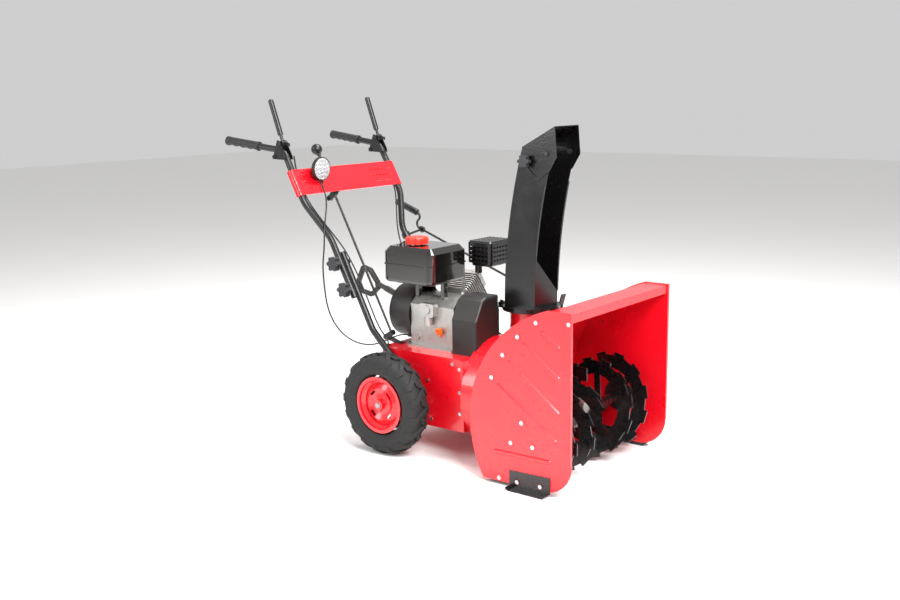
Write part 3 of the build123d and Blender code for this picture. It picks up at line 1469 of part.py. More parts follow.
# ---------------------------------------------------------------- panel and headlight
tube_way = (Vector(*upper_points[2]) - Vector(*upper_points[1])).normalized()
panel_way = Vector(tube_way.X, 0, tube_way.Z).normalized()
panel_out = Vector(panel_way.Z, 0, -panel_way.X)
panel_z = 848.0
panel_height = 92.0
panel_half = 256.0
panel_depth = 20.0
panel_sheet = 2.0
tube_there = Vector(*upper_points[1]) + tube_way * ((panel_z - upper_points[1][2]) / tube_way.Z)
panel_centre = Vector(tube_there.X, 0, tube_there.Z) + panel_out * (tube_radius + gap)
panel_section = Plane(panel_centre, x_dir=(0, 1, 0), z_dir=-panel_way)
panel_front = Plane(panel_centre + panel_out * panel_sheet, x_dir=(0, 1, 0), z_dir=panel_out)
with BuildPart() as control_panel:
    with BuildSketch(panel_section):
        with Locations((0, panel_sheet - 2 * panel_depth)):
            RectangleRounded(2 * panel_half, 4 * panel_depth, 10)
            RectangleRounded(2 * (panel_half - panel_sheet), 4 * panel_depth - 2 * panel_sheet, 8, mode=Mode.SUBTRACT)
        with Locations((0, panel_sheet - panel_depth - 2 * panel_depth)):
            Rectangle(2 * panel_half + 10, 4 * panel_depth, mode=Mode.SUBTRACT)
    extrude(amount=panel_height / 2, both=True)
    # turned lips along both long edges
    for edge in (1, -1):
        with BuildSketch(panel_front.offset(-panel_sheet - 6)):
            with Locations((0, edge * (panel_height / 2 - 1))):
                Rectangle(2 * (panel_half - 44), panel_sheet)
        extrude(amount=7)
    # gap in the lips for the speed lever and its rod
    with BuildSketch(panel_front.offset(-panel_sheet - 8)):
        with Locations((-88, 0)):
            Rectangle(56, panel_height + 4)
    extrude(amount=8, mode=Mode.SUBTRACT)
    # pressed louvres at both ends
    for side in (1, -1):
        for row in (-22, 0, 22):
            with BuildSketch(panel_front.offset(-0.01)):
                with Locations((side * 168, row)):
                    SlotOverall(104, 9)
            extrude(amount=3, taper=30)

lamp = (-360.0, -150.0, 893.0)
lamp_axis = Axis((0, lamp[1], lamp[2]), (1, 0, 0))
lamp_radius = 39.0
with BuildPart() as headlight_body:
    with BuildSketch(Plane.XZ.offset(-lamp[1])):
        with BuildLine():
            Polyline(
                (lamp[0], lamp[2] + lamp_radius - 3),
                (lamp[0], lamp[2] + lamp_radius),
                (lamp[0] - 11, lamp[2] + lamp_radius),
                (lamp[0] - 21, lamp[2] + 31),
                (lamp[0] - 30, lamp[2] + 20),
                (lamp[0] - 34, lamp[2] + 12),
                (lamp[0] - 34, lamp[2]),
                (lamp[0] - 31, lamp[2]),
                (lamp[0] - 31, lamp[2] + 11),
                (lamp[0] - 19, lamp[2] + 29),
                (lamp[0] - 10, lamp[2] + lamp_radius - 3),
                close=True,
            )
        make_face()
    revolve(axis=lamp_axis)
    with BuildSketch(Plane.YZ.offset(lamp[0] - 34)):
        with Locations((lamp[1], lamp[2] - 4)):
            Circle(6)
    extrude(amount=-30)
    add(control_panel.part, mode=Mode.SUBTRACT)
    split(bisect_by=panel_front.offset(-panel_sheet), keep=Keep.TOP)

with BuildPart() as headlight_lens:
    with BuildSketch(Plane.XZ.offset(-lamp[1])):
        with BuildLine():
            Line((lamp[0] + 7, lamp[2]), (lamp[0] - 4, lamp[2]))
            Line((lamp[0] - 4, lamp[2]), (lamp[0] - 4, lamp[2] + lamp_radius - 3.2))
            Line((lamp[0] - 4, lamp[2] + lamp_radius - 3.2), (lamp[0], lamp[2] + lamp_radius - 3.2))
            TangentArc((lamp[0] + 7, lamp[2]), (lamp[0], lamp[2] + lamp_radius - 3.2), tangent=(0, 1))
        make_face()
    revolve(axis=lamp_axis)

# ---------------------------------------------------------------- clutch levers
lever_pivot = Vector(-452, upper_points[2][1], 978)
lever_way = Vector(-sin(radians(20)), 0, cos(radians(20)))
lever_length = 158.0
lever_plane = Plane(lever_pivot, x_dir=(0, 1, 0), z_dir=lever_way)
with BuildPart() as auger_lever:
    with BuildSketch(Plane.XZ.offset(-lever_pivot.Y)):
        with Locations((lever_pivot.X, lever_pivot.Z)):
            Circle(10)
            Circle(4.1, mode=Mode.SUBTRACT)
    extrude(amount=10.5, both=True)
    with BuildSketch(lever_plane.offset(9)):
        Circle(5)
    extrude(amount=40)
    with BuildSketch(lever_plane.offset(30)):
        Circle(9)
    extrude(amount=lever_length - 30 - 4)
    fillet(auger_lever.faces().sort_by(Axis.Z)[-1].edges(), 6)
    # short arm that pulls the cable
    with BuildSketch(Plane.XZ.offset(-lever_pivot.Y)):
        with BuildLine():
            Polyline(
                (lever_pivot.X + 4, lever_pivot.Z + 8),
                (lever_pivot.X + 30, lever_pivot.Z + 2),
                (lever_pivot.X + 30, lever_pivot.Z - 8),
                (lever_pivot.X + 8, lever_pivot.Z - 4),
                close=True,
            )
        make_face()
        with Locations((lever_pivot.X + 25, lever_pivot.Z - 3)):
            Circle(2.5, mode=Mode.SUBTRACT)
    extrude(amount=2, both=True)

with BuildPart() as drive_lever:
    mirror(auger_lever.part, about=Plane.XZ)

ear_offset = tube_radius + 3
with BuildPart() as lever_brackets_left:
    for side in (1, -1):
        with BuildSketch(Plane.XZ.offset(-lever_pivot.Y - side * ear_offset)):
            with BuildLine():
                Polyline(
                    (lever_pivot.X - 36, lever_pivot.Z - 50),
                    (lever_pivot.X + 26, lever_pivot.Z - 52),
                    (lever_pivot.X + 14, lever_pivot.Z + 10),
                    (lever_pivot.X - 12, lever_pivot.Z + 12),
                    close=True,
                )
            make_face()
            with Locations((lever_pivot.X, lever_pivot.Z), (lever_pivot.X - 26, lever_pivot.Z - 42)):
                Circle(4.1, mode=Mode.SUBTRACT)
        extrude(amount=-side * 3)
    # pivot pin and the bolt under the tube
    for pin_x, pin_z in ((lever_pivot.X, lever_pivot.Z), (lever_pivot.X - 26, lever_pivot.Z - 42)):
        with BuildSketch(Plane.XZ.offset(-lever_pivot.Y)):
            with Locations((pin_x, pin_z)):
                Circle(4)
        extrude(amount=ear_offset + 4, both=True)
        for side in (1, -1):
            with BuildSketch(Plane.XZ.offset(-lever_pivot.Y - side * (ear_offset + 3))):
                with Locations((pin_x, pin_z)):
                    RegularPolygon(7, 6)
            extrude(amount=-side * 5)

# ---------------------------------------------------------------- speed control
arm_offset = Vector(-34.6, 0, -20.1)
upper_pin = Vector(-372, -78, 806)
lower_pin = Vector(-110, -98, 356)
lever_hinge = upper_pin + arm_offset
arm_hinge = lower_pin + arm_offset
stem_way = (Vector(-456, -78, 951) - upper_pin).normalized()
with BuildPart() as speed_lever:
    with BuildSketch(Plane.XZ.offset(-upper_pin.Y - 2)):
        with Locations((lever_hinge.X, lever_hinge.Z), (upper_pin.X, upper_pin.Z)):
            Circle(9)
        make_hull()
        with Locations((lever_hinge.X, lever_hinge.Z)):
            Circle(4.1, mode=Mode.SUBTRACT)
    extrude(amount=4)
    with BuildSketch(Plane(upper_pin, z_dir=stem_way)):
        Circle(5)
    extrude(amount=160)
    with BuildSketch(Plane(upper_pin + stem_way * 146, x_dir=(0, 1, 0), z_dir=stem_way)):
        Circle(8)
    extrude(amount=9)
    with BuildSketch(Plane(upper_pin + stem_way * 168, x_dir=(0, 1, 0), z_dir=stem_way.cross(Vector(0, 1, 0)))):
        Circle(19)
        with Locations((-19, 0)):
            Rectangle(38, 38, mode=Mode.SUBTRACT)
    revolve(axis=Axis(upper_pin + stem_way * 168, stem_way))
    with BuildSketch(Plane.XZ.offset(-upper_pin.Y + 2)):
        with Locations((upper_pin.X, upper_pin.Z)):
            Circle(4)
    extrude(amount=12)

with BuildPart() as shift_arm:
    with BuildSketch(Plane.XZ.offset(-lower_pin.Y - 2)):
        with Locations((arm_hinge.X, arm_hinge.Z), (lower_pin.X, lower_pin.Z)):
            Circle(9)
        make_hull()
        with Locations((arm_hinge.X, arm_hinge.Z)):
            Circle(4.1, mode=Mode.SUBTRACT)
    extrude(amount=4)
    with BuildSketch(Plane.XZ.offset(-lower_pin.Y + 2)):
        with Locations((lower_pin.X, lower_pin.Z)):
            Circle(4)
    extrude(amount=12)

rod_top = upper_pin + Vector(0, -8, 0)
rod_foot = lower_pin + Vector(0, -8, 0)
rod_line = (rod_foot - rod_top).normalized()
with BuildPart() as shift_rod:
    for end, bore in ((rod_top, 4.1), (rod_foot, 4.6)):
        with BuildSketch(Plane.XZ.offset(-end.Y - 3)):
            with Locations((end.X, end.Z)):
                Circle(9)
        extrude(amount=6)
    with BuildSketch(Plane(rod_top + rod_line * 5, z_dir=rod_line)):
        Circle(4)
    extrude(amount=(rod_foot - rod_top).length - 10)
    for end, bore in ((rod_top, 4.1), (rod_foot, 4.6)):
        with BuildSketch(Plane.XZ.offset(-end.Y - 6)):
            with Locations((end.X, end.Z)):
                Circle(bore)
        extrude(amount=12, mode=Mode.SUBTRACT)

with BuildPart() as lever_brackets:
    add(lever_brackets_left.part)
    mirror(lever_brackets_left.part, about=Plane.XZ)
    # speed lever bracket behind the panel
    panel_rear = panel_front.offset(-panel_sheet)
    with BuildSketch(Plane.XZ.offset(-upper_pin.Y - 12)):
        with BuildLine():
            Polyline(
                (lever_hinge.X - 9, lever_hinge.Z - 4),
                (lever_hinge.X + 4, lever_hinge.Z - 9),
                (lever_hinge.X + 60, lever_hinge.Z + 42),
                (lever_hinge.X + 40, lever_hinge.Z + 86),
                (lever_hinge.X - 6, lever_hinge.Z + 9),
                close=True,
            )
        make_face()
    extrude(amount=4)
    with BuildSketch(Plane.XZ.offset(-upper_pin.Y - 12)):
        with Locations((lever_hinge.X, lever_hinge.Z)):
            Circle(4)
    extrude(amount=20)
    split(bisect_by=panel_rear, keep=Keep.BOTTOM)
# bracket of the shift arm, on the case
with BuildPart() as shift_bracket:
    with BuildSketch(Plane.XZ.offset(-lower_pin.Y - 8)):
        with BuildLine():
            Polyline(
                (arm_hinge.X - 9, arm_hinge.Z - 4),
                (arm_hinge.X + 2, arm_hinge.Z - 9),
                (case_rear + 2, case_top),
                (case_rear + 34, case_top),
                (case_rear + 34, case_top + 6),
                (arm_hinge.X + 6, arm_hinge.Z + 9),
                (arm_hinge.X - 5, arm_hinge.Z + 8),
                close=True,
            )
        make_face()
    extrude(amount=4)
    with BuildSketch(Plane.XY.offset(case_top)):
        with Locations((case_rear + 18, -lower_pin.Y * -1 + 14)):
            Rectangle(32, 24)
    extrude(amount=3)
    with BuildSketch(Plane.XZ.offset(-lower_pin.Y - 8)):
        with Locations((arm_hinge.X, arm_hinge.Z)):
            Circle(4)
    extrude(amount=14)

# ---------------------------------------------------------------- starter handle
handle_reach = Vector(*rope_start) + rope_plane.z_dir * (rope_tube + 1)
with BuildPart() as recoil_handle:
    with BuildSketch(Plane.XZ):
        with BuildLine():
            Polyline(
                (handle_reach.X - 106, handle_reach.Z + 74),
                (handle_reach.X - 66, handle_reach.Z + 64),
                (handle_reach.X - 30, handle_reach.Z + 20),
                (handle_reach.X - 28, handle_reach.Z - 4),
                (handle_reach.X - 62, handle_reach.Z - 36),
                (handle_reach.X - 124, handle_reach.Z - 26),
                (handle_reach.X - 138, handle_reach.Z + 8),
                close=True,
            )
        make_face()
        fillet(vertices(), 13)
        offset(amount=-15, kind=Kind.INTERSECTION, mode=Mode.SUBTRACT)
    extrude(amount=8, both=True)
    fillet(recoil_handle.faces().filter_by(Axis.Y).edges(), 3)
    with BuildSketch(rope_plane.offset(rope_tube + 1)):
        Circle(9)
    extrude(amount=38)
    with BuildSketch(rope_plane.offset(rope_tube - 30)):
        Circle(3)
    extrude(amount=32)

# ---------------------------------------------------------------- cables
cable_radius = 2.5
lamp_route = (
    (-364, -150, 846),
    (-360, -150, 831),
    (-347, -152, 806),
    (-335, -162, 768),
    (-313, -192, 736),
    (-297, -215, 699),
    (-293, -222, 642),
    (-298, -228, 580),
    (-296, -226, 515),
    (-290, -224, 455),
    (-277, -215, 400),
    (-250, -195, 350),
    (-212, -168, 319),
    (-168, -142, 313),
    (-128, -126, 327),
    (-98, -106, 345),
    (-80, -78, 350),
    (-60, -78, 350),
)
clutch_route = (
    (-416, 224, 938),
    (-413, 221, 890),
    (-390, 222, 842),
    (-364, 221, 795),
    (-338, 195, 737),
    (-311, 164, 682),
    (-281, 141, 630),
    (-247, 133, 572),
    (-212, 133, 512),
    (-179, 136, 455),
    (-150, 139, 402),
    (-122, 140, 362),
    (-98, 138, 344),
    (-97, 138, 326),
)


def cable(route, radius):
    # returns the tube of a cable along its route
    radii = arc_radii([Vector(*point) for point in route])
    path = tube_path(route, radii)
    with BuildPart() as tube:
        with BuildSketch(Plane(route[0], z_dir=Vector(*route[1]) - Vector(*route[0]))):
            Circle(radius)
        sweep(path=path)
    length = sum(edge.length for edge in path.edges())
    ratio = tube.part.volume / (length * pi * radius**2)
    print("cable arcs", [round(r, 1) for r in radii], "length", round(length, 1))
    print("volume over section times length", round(ratio, 4))
    return tube.part


with BuildPart() as lamp_cable:
    add(cable(lamp_route, cable_radius))

clutch_cable = cable(clutch_route, cable_radius)
with BuildPart() as clutch_cables:
    add(clutch_cable)
    mirror(clutch_cable, about=Plane.XZ)

# glands that hold the cable ends
with BuildPart() as cable_glands:
    with BuildSketch(Plane.YZ.offset(lamp_route[-1][0])):
        with Locations((lamp_route[-1][1], lamp_route[-1][2])):
            Circle(6)
    extrude(amount=block_rear - lamp_route[-1][0])
    for side in (1, -1):
        with BuildSketch(Plane.XY.offset(case_top)):
            with Locations((clutch_route[-1][0], side * clutch_route[-1][1])):
                Circle(7)
        extrude(amount=clutch_route[-1][2] - case_top - 1)
    with BuildSketch(Plane.XY.offset(lamp_route[0][2] + 1)):
        with Locations((lamp_route[0][0], lamp_route[0][1])):
            Circle(4.5)
    extrude(amount=9)
    add(headlight_body.part, mode=Mode.SUBTRACT)

with BuildPart() as control_brackets:
    add(lever_brackets.part)
    add(shift_bracket.part)
    add(crank_guides.part)
    add(cable_glands.part)

pieces = {
    "auger_housing": auger_housing,
    "side_plate_right": side_plate_right,
    "side_plate_left": side_plate_left,
    "scraper_bar": scraper_bar,
    "skid_shoe_right": skid_shoe_right,
    "skid_shoe_left": skid_shoe_left,
    "housing_bolts": housing_bolts,
    "auger_shaft": auger_shaft,
    "auger_flight_right": flights["auger_flight_right"],
    "auger_flight_left": flights["auger_flight_left"],
    "gearbox_case": gearbox_case,
    "impeller": impeller,
    "impeller_shaft": impeller_shaft,
    "transmission_case": transmission_case,
    "bottom_cover": bottom_cover,
    "shaft_bushes": shaft_bushes,
    "drive_disc": drive_disc,
    "hex_shaft": hex_shaft,
    "friction_wheel": friction_wheel,
    "axle": axle,
    "rim_right": rim_right,
    "rim_left": rim_left,
    "tyre_right": tyre_right,
    "tyre_left": tyre_left,
    "engine_block": engine_block,
    "crankshaft": crankshaft,
    "cylinder": cylinder,
    "carburettor": carburettor,
    "dipstick": dipstick,
    "drive_belts": drive_belts,
    "belt_cover": belt_cover,
    "fuel_tank": fuel_tank,
    "fuel_cap": fuel_cap,
    "muffler": muffler,
    "muffler_guard": muffler_guard,
    "recoil_cover": recoil_cover,
    "recoil_handle": recoil_handle,
    "chute_collar": chute_collar,
    "chute": chute,
    "chute_deflector": chute_deflector,
    "deflector_knobs": deflector_knobs,
    "chute_crank": chute_crank,
    "lower_handle_right": lower_handle_right,
    "lower_handle_left": lower_handle_left,
    "upper_handle_right": upper_handle_right,
    "upper_handle_left": upper_handle_left,
    "handle_grips": handle_grips,
    "handle_knobs": handle_knobs,
    "frame_bolts": frame_bolts,
    "control_panel": control_panel,
    "headlight_body": headlight_body,
    "headlight_lens": headlight_lens,
    "drive_lever": drive_lever,
    "auger_lever": auger_lever,
    "control_brackets": control_brackets,
    "speed_lever": speed_lever,
    "shift_rod": shift_rod,
    "shift_arm": shift_arm,
    "lamp_cable": lamp_cable,
    "clutch_cables": clutch_cables,
}
for name, piece in pieces.items():
    piece.part.label = name
    export_step(piece.part, f"parts/{name}.step")
print(len(pieces), "nodes")
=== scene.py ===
import math

import bmesh
import bpy
from mathutils import Matrix, Vector


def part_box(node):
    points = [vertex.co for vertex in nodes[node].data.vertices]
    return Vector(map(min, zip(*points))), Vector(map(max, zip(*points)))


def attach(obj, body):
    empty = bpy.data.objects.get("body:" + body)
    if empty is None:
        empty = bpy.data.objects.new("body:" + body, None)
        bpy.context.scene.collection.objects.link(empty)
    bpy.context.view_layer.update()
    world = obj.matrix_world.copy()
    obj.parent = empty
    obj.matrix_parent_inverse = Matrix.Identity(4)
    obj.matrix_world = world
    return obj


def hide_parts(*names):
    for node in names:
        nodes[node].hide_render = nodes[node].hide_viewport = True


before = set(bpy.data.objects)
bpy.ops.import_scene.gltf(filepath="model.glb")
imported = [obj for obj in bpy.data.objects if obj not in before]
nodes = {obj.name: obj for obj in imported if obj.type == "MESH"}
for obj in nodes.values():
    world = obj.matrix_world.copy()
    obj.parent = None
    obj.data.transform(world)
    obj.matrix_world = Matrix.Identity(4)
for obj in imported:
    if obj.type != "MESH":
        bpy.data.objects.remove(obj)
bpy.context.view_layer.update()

# small helpers


def linear(hexColour):
    # sRGB hex to the linear values that shaders take
    channels = [int(hexColour[i:i + 2], 16) / 255 for i in (1, 3, 5)]
    return [c / 12.92 if c <= 0.04045 else ((c + 0.055) / 1.055) ** 2.4 for c in channels] + [1.0]


def addNode(material, kind, settings, inputs):
    node = material.node_tree.nodes.new(kind)
    for key, value in settings.items():
        setattr(node, key, value)
    for key, value in inputs.items():
        if isinstance(value, bpy.types.NodeSocket):
            material.node_tree.links.new(value, node.inputs[key])
        else:
            node.inputs[key].default_value = value
    return node


def makePiece(name, shape, material, body, sharpAngle=35):
    mesh = bpy.data.meshes.new(name)
    bmesh.ops.recalc_face_normals(shape, faces=shape.faces)
    shape.to_mesh(mesh)
    shape.free()
    mesh.polygons.foreach_set("use_smooth", [True] * len(mesh.polygons))
    mesh.set_sharp_from_angle(angle=math.radians(sharpAngle))
    piece = bpy.data.objects.new(name, mesh)
    bpy.context.collection.objects.link(piece)
    mesh.materials.append(material)
    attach(piece, body)
    return piece


def bevelled(piece, width, segments=2):
    modifier = piece.modifiers.new("softEdge", "BEVEL")
    modifier.width = width
    modifier.segments = segments
    modifier.limit_method = "ANGLE"
    modifier.angle_limit = math.radians(40)
    return piece


def addBox(shape, low, high):
    low, high = Vector(low), Vector(high)
    scale = Matrix.Diagonal(((high - low).x, (high - low).y, (high - low).z, 1))
    bmesh.ops.create_cube(shape, size=1, matrix=Matrix.Translation((low + high) / 2) @ scale)


def spunShape(profile, steps):
    # profile of (along Z, radius) turned about Z; a point on the axis closes it
    shape = bmesh.new()
    points = [shape.verts.new((radius, 0, along)) for along, radius in profile]
    edges = [shape.edges.new(pair) for pair in zip(points, points[1:])]
    bmesh.ops.spin(shape, geom=points + edges, cent=(0, 0, 0), axis=(0, 0, 1), angle=2 * math.pi,
                   steps=steps, use_merge=True)
    bmesh.ops.remove_doubles(shape, verts=shape.verts, dist=1e-6)
    return shape


def moveTo(shape, start, end):
    # the shape's Z axis from the origin goes to start and points at end
    turn = (Vector(end) - Vector(start)).to_track_quat("Z", "Y").to_matrix().to_4x4()
    bmesh.ops.transform(shape, matrix=Matrix.Translation(start) @ turn, verts=shape.verts)


# camera, floor and light

# place in metres, angles in degrees, lens and sensor in millimetres
view = {"place": (2.2739, -2.7884, 1.1535), "azimuth": 38.5, "elevation": 10.9, "roll": -0.9,
        "lens": 44.18, "sensor": 36}

cameraData = bpy.data.cameras.new("camera")
cameraData.lens = view["lens"]
cameraData.sensor_width = view["sensor"]
camera = bpy.data.objects.new("camera", cameraData)
bpy.context.collection.objects.link(camera)
azimuth, elevation, roll = (math.radians(view[turn]) for turn in ("azimuth", "elevation", "roll"))
level = math.cos(elevation)
back = Vector((math.sin(azimuth) * level, -math.cos(azimuth) * level, math.sin(elevation)))
right = Vector((math.cos(azimuth), math.sin(azimuth), 0))
up = back.cross(right)
rolledRight = right * math.cos(roll) + up * math.sin(roll)
rolledUp = up * math.cos(roll) - right * math.sin(roll)
camera.matrix_world = Matrix.Translation(view["place"]) @ Matrix(
    (rolledRight, rolledUp, back)).transposed().to_4x4()
bpy.context.scene.camera = camera
bpy.context.scene.view_settings.view_transform = "Standard"

studio = {"floorColour": "#f4f3f2", "floorRoughness": 0.85, "floorSize": 14, "wallLight": 0.62,
          "keyPower": 190, "sidePower": 55, "topPower": 120}

floorShape = bmesh.new()
bmesh.ops.create_grid(floorShape, x_segments=1, y_segments=1, size=studio["floorSize"])
floorMesh = bpy.data.meshes.new("floor")
floorShape.to_mesh(floorMesh)
floorShape.free()
floor = bpy.data.objects.new("floor", floorMesh)
bpy.context.collection.objects.link(floor)
floorPaint = bpy.data.materials.new("floorPaint")
floorPaint.use_nodes = True
floorShader = floorPaint.node_tree.nodes["Principled BSDF"]
floorShader.inputs["Base Color"].default_value = linear(studio["floorColour"])
floorShader.inputs["Roughness"].default_value = studio["floorRoughness"]
floorMesh.materials.append(floorPaint)

world = bpy.data.worlds.new("studioWorld")
world.use_nodes = True
world.node_tree.nodes["Background"].inputs["Color"].default_value = (1, 1, 1, 1)
world.node_tree.nodes["Background"].inputs["Strength"].default_value = studio["wallLight"]
bpy.context.scene.world = world


def addLight(name, place, target, size, power):
    data = bpy.data.lights.new(name, "AREA")
    data.shape = "RECTANGLE"
    data.size, data.size_y = size
    data.energy = power
    light = bpy.data.objects.new(name, data)
    bpy.context.collection.objects.link(light)
    light.location = place
    light.rotation_euler = (Vector(target) - Vector(place)).to_track_quat("-Z", "Y").to_euler()


addLight("keyLight", (2.6, -1.2, 2.6), (0.2, 0, 0.4), (1.6, 1.6), studio["keyPower"])
addLight("sideLight", (-1.6, -3.0, 1.9), (-0.1, 0, 0.5), (1.0, 2.0), studio["sidePower"])
addLight("topLight", (0.2, 0.6, 3.2), (0.1, 0, 0.4), (2.4, 1.2), studio["topPower"])
print("studio ready")

# materials


def surface(name, base, roughness, metallic=0.0, ior=1.5, spread=0.06, patch=0.05, grain=0.0006,
            bump=0.02, coat=0.0, coatRoughness=0.1, roughSpread=0.06):
    # a finish with slow colour drift over patches and a fine surface grain, both in metres
    material = bpy.data.materials.new(name)
    material.use_nodes = True
    shader = material.node_tree.nodes["Principled BSDF"]
    place = addNode(material, "ShaderNodeTexCoord", {}, {})
    drift = addNode(material, "ShaderNodeTexNoise", {},
                    {"Vector": place.outputs["Object"], "Scale": 1 / patch, "Detail": 4, "Roughness": 0.6})
    fine = addNode(material, "ShaderNodeTexNoise", {},
                   {"Vector": place.outputs["Object"], "Scale": 1 / grain, "Detail": 2})
    dark = [c * (1 - spread) for c in linear(base)[:3]] + [1.0]
    light = [min(1, c * (1 + spread) + 0.004 * spread) for c in linear(base)[:3]] + [1.0]
    tint = addNode(material, "ShaderNodeMix", {"data_type": "RGBA"}, {"Factor": drift.outputs["Fac"]})
    tint.inputs[6].default_value = dark
    tint.inputs[7].default_value = light
    material.node_tree.links.new(tint.outputs[2], shader.inputs["Base Color"])
    rough = addNode(material, "ShaderNodeMapRange", {},
                    {"Value": drift.outputs["Fac"], "From Min": 0.3, "From Max": 0.7,
                     "To Min": max(0.02, roughness - roughSpread), "To Max": roughness + roughSpread})
    material.node_tree.links.new(rough.outputs["Result"], shader.inputs["Roughness"])
    relief = addNode(material, "ShaderNodeBump", {},
                     {"Height": fine.outputs["Fac"], "Strength": bump, "Distance": grain})
    material.node_tree.links.new(relief.outputs["Normal"], shader.inputs["Normal"])
    shader.inputs["Metallic"].default_value = metallic
    if not metallic:
        shader.inputs["IOR"].default_value = ior
    shader.inputs["Coat Weight"].default_value = coat
    shader.inputs["Coat Roughness"].default_value = coatRoughness
    return material


# gloss baked enamel on pressed steel: deep red, soft orange peel, sharp highlights
redEnamel = surface("bakedRedEnamel", "#d6061a", 0.30, spread=0.05, patch=0.12, grain=0.004, bump=0.05,
                    coat=0.6, coatRoughness=0.08)
# semi-gloss powder coat on tubes and brackets: near black, fine pebble
blackPowder = surface("blackPowderCoat", "#121213", 0.34, spread=0.2, patch=0.03, grain=0.0012, bump=0.15)
# thicker black enamel on the flights and shoes, scuffed by use
blackEnamel = surface("blackEnamelSteel", "#0d0d0e", 0.28, spread=0.3, patch=0.02, grain=0.003, bump=0.1,
                      coat=0.3)
# blow-moulded polyethylene of the chute: black, waxy gloss
chuteBlack = surface("chutePolyethylene", "#0b0b0c", 0.24, spread=0.2, patch=0.08, grain=0.006, bump=0.05)
# moulded ABS covers and knobs: dark grey black with a fine spark texture
mouldedBlack = surface("mouldedAbs", "#1b1716", 0.42, spread=0.1, patch=0.03, grain=0.001, bump=0.25)
knobBlack = surface("knobNylon", "#26272a", 0.45, spread=0.1, patch=0.02, grain=0.0009, bump=0.3)
# pressed fuel tank in black gloss lacquer
tankLacquer = surface("tankLacquer", "#0a0806", 0.12, spread=0.1, patch=0.1, grain=0.008, bump=0.02, coat=1.0,
                      coatRoughness=0.04)
# tyre compound: dull charcoal, dusty in places
tyreRubber = surface("tyreCompound", "#161616", 0.72, spread=0.35, patch=0.018, grain=0.0015, bump=0.35)
# soft PVC grip
gripRubber = surface("gripPvc", "#1a1a1b", 0.5, spread=0.15, patch=0.01, grain=0.0009, bump=0.35)
beltRubber = surface("beltRubber", "#1c1b1a", 0.8, spread=0.2, patch=0.01, grain=0.0008, bump=0.4)
cableSheath = surface("cablePvc", "#101011", 0.4, spread=0.1, patch=0.01, grain=0.0008, bump=0.1)
# zinc plate on fasteners: pale, slightly blue, bright
zincPlate = surface("zincPlate", "#c9ccd0", 0.28, metallic=1.0, spread=0.15, patch=0.006, grain=0.0006,
                    bump=0.08)
# turned steel shafts
turnedSteel = surface("turnedSteel", "#9c9c9b", 0.32, metallic=1.0, spread=0.15, patch=0.01, grain=0.0007,
                      bump=0.1)
# die-cast aluminium: pale grey with a sandy skin
castAluminium = surface("castAluminium", "#b9b8b4", 0.46, metallic=1.0, spread=0.22, patch=0.012,
                        grain=0.0014, bump=0.4)
# sand-cast iron: dark grey and rough
greyIron = surface("greyIron", "#4c4b4a", 0.55, metallic=1.0, spread=0.3, patch=0.008, grain=0.0012, bump=0.4)
# bright red moulded cap, a little oranger than the enamel
capRed = surface("capPolypropylene", "#e0301f", 0.35, spread=0.06, patch=0.01, grain=0.001, bump=0.1)
dipOrange = surface("dipstickNylon", "#e8641a", 0.4, spread=0.05, patch=0.01, grain=0.001, bump=0.1)


def makeLens():
    # clear polycarbonate with moulded flutes that break up the lamp behind it
    material = bpy.data.materials.new("flutedPolycarbonate")
    material.use_nodes = True
    shader = material.node_tree.nodes["Principled BSDF"]
    shader.inputs["Base Color"].default_value = linear("#f4f6f8")
    shader.inputs["Transmission Weight"].default_value = 0.7
    shader.inputs["IOR"].default_value = 1.58
    shader.inputs["Roughness"].default_value = 0.08
    place = addNode(material, "ShaderNodeTexCoord", {}, {})
    flutes = addNode(material, "ShaderNodeTexWave", {"bands_direction": "Y"},
                     {"Vector": place.outputs["Object"], "Scale": 45, "Distortion": 0})
    cross = addNode(material, "ShaderNodeTexWave", {"bands_direction": "Z"},
                    {"Vector": place.outputs["Object"], "Scale": 24, "Distortion": 0})
    both = addNode(material, "ShaderNodeMath", {"operation": "ADD"},
                   {0: flutes.outputs["Fac"], 1: cross.outputs["Fac"]})
    relief = addNode(material, "ShaderNodeBump", {},
                     {"Height": both.outputs["Value"], "Strength": 0.6, "Distance": 0.002})
    material.node_tree.links.new(relief.outputs["Normal"], shader.inputs["Normal"])
    return material


lensClear = makeLens()

finishes = {
    redEnamel: ["auger_housing", "side_plate_right", "side_plate_left", "transmission_case", "bottom_cover",
                "rim_right", "rim_left", "control_panel"],
    blackEnamel: ["scraper_bar", "skid_shoe_right", "skid_shoe_left", "auger_flight_right",
                  "auger_flight_left", "impeller", "muffler", "muffler_guard"],
    blackPowder: ["lower_handle_right", "lower_handle_left", "upper_handle_right", "upper_handle_left",
                  "drive_lever", "auger_lever", "control_brackets", "speed_lever", "shift_rod", "shift_arm",
                  "chute_collar", "chute_crank"],
    chuteBlack: ["chute", "chute_deflector"],
    mouldedBlack: ["belt_cover", "recoil_cover", "recoil_handle", "headlight_body"],
    knobBlack: ["deflector_knobs", "handle_knobs"],
    tankLacquer: ["fuel_tank"],
    zincPlate: ["housing_bolts", "frame_bolts"],
    turnedSteel: ["auger_shaft", "impeller_shaft", "hex_shaft", "axle"],
    castAluminium: ["gearbox_case", "engine_block", "cylinder", "carburettor", "drive_disc"],
    greyIron: ["shaft_bushes", "crankshaft"],
    beltRubber: ["drive_belts", "friction_wheel"],
    capRed: ["fuel_cap"],
    dipOrange: ["dipstick"],
    lensClear: ["headlight_lens"],
}
for finish, names in finishes.items():
    for name in names:
        piece = nodes[name]
        if not piece.material_slots:
            piece.data.materials.append(finish)
        for slot in piece.material_slots:
            slot.material = finish
print("materials ready")

# cables

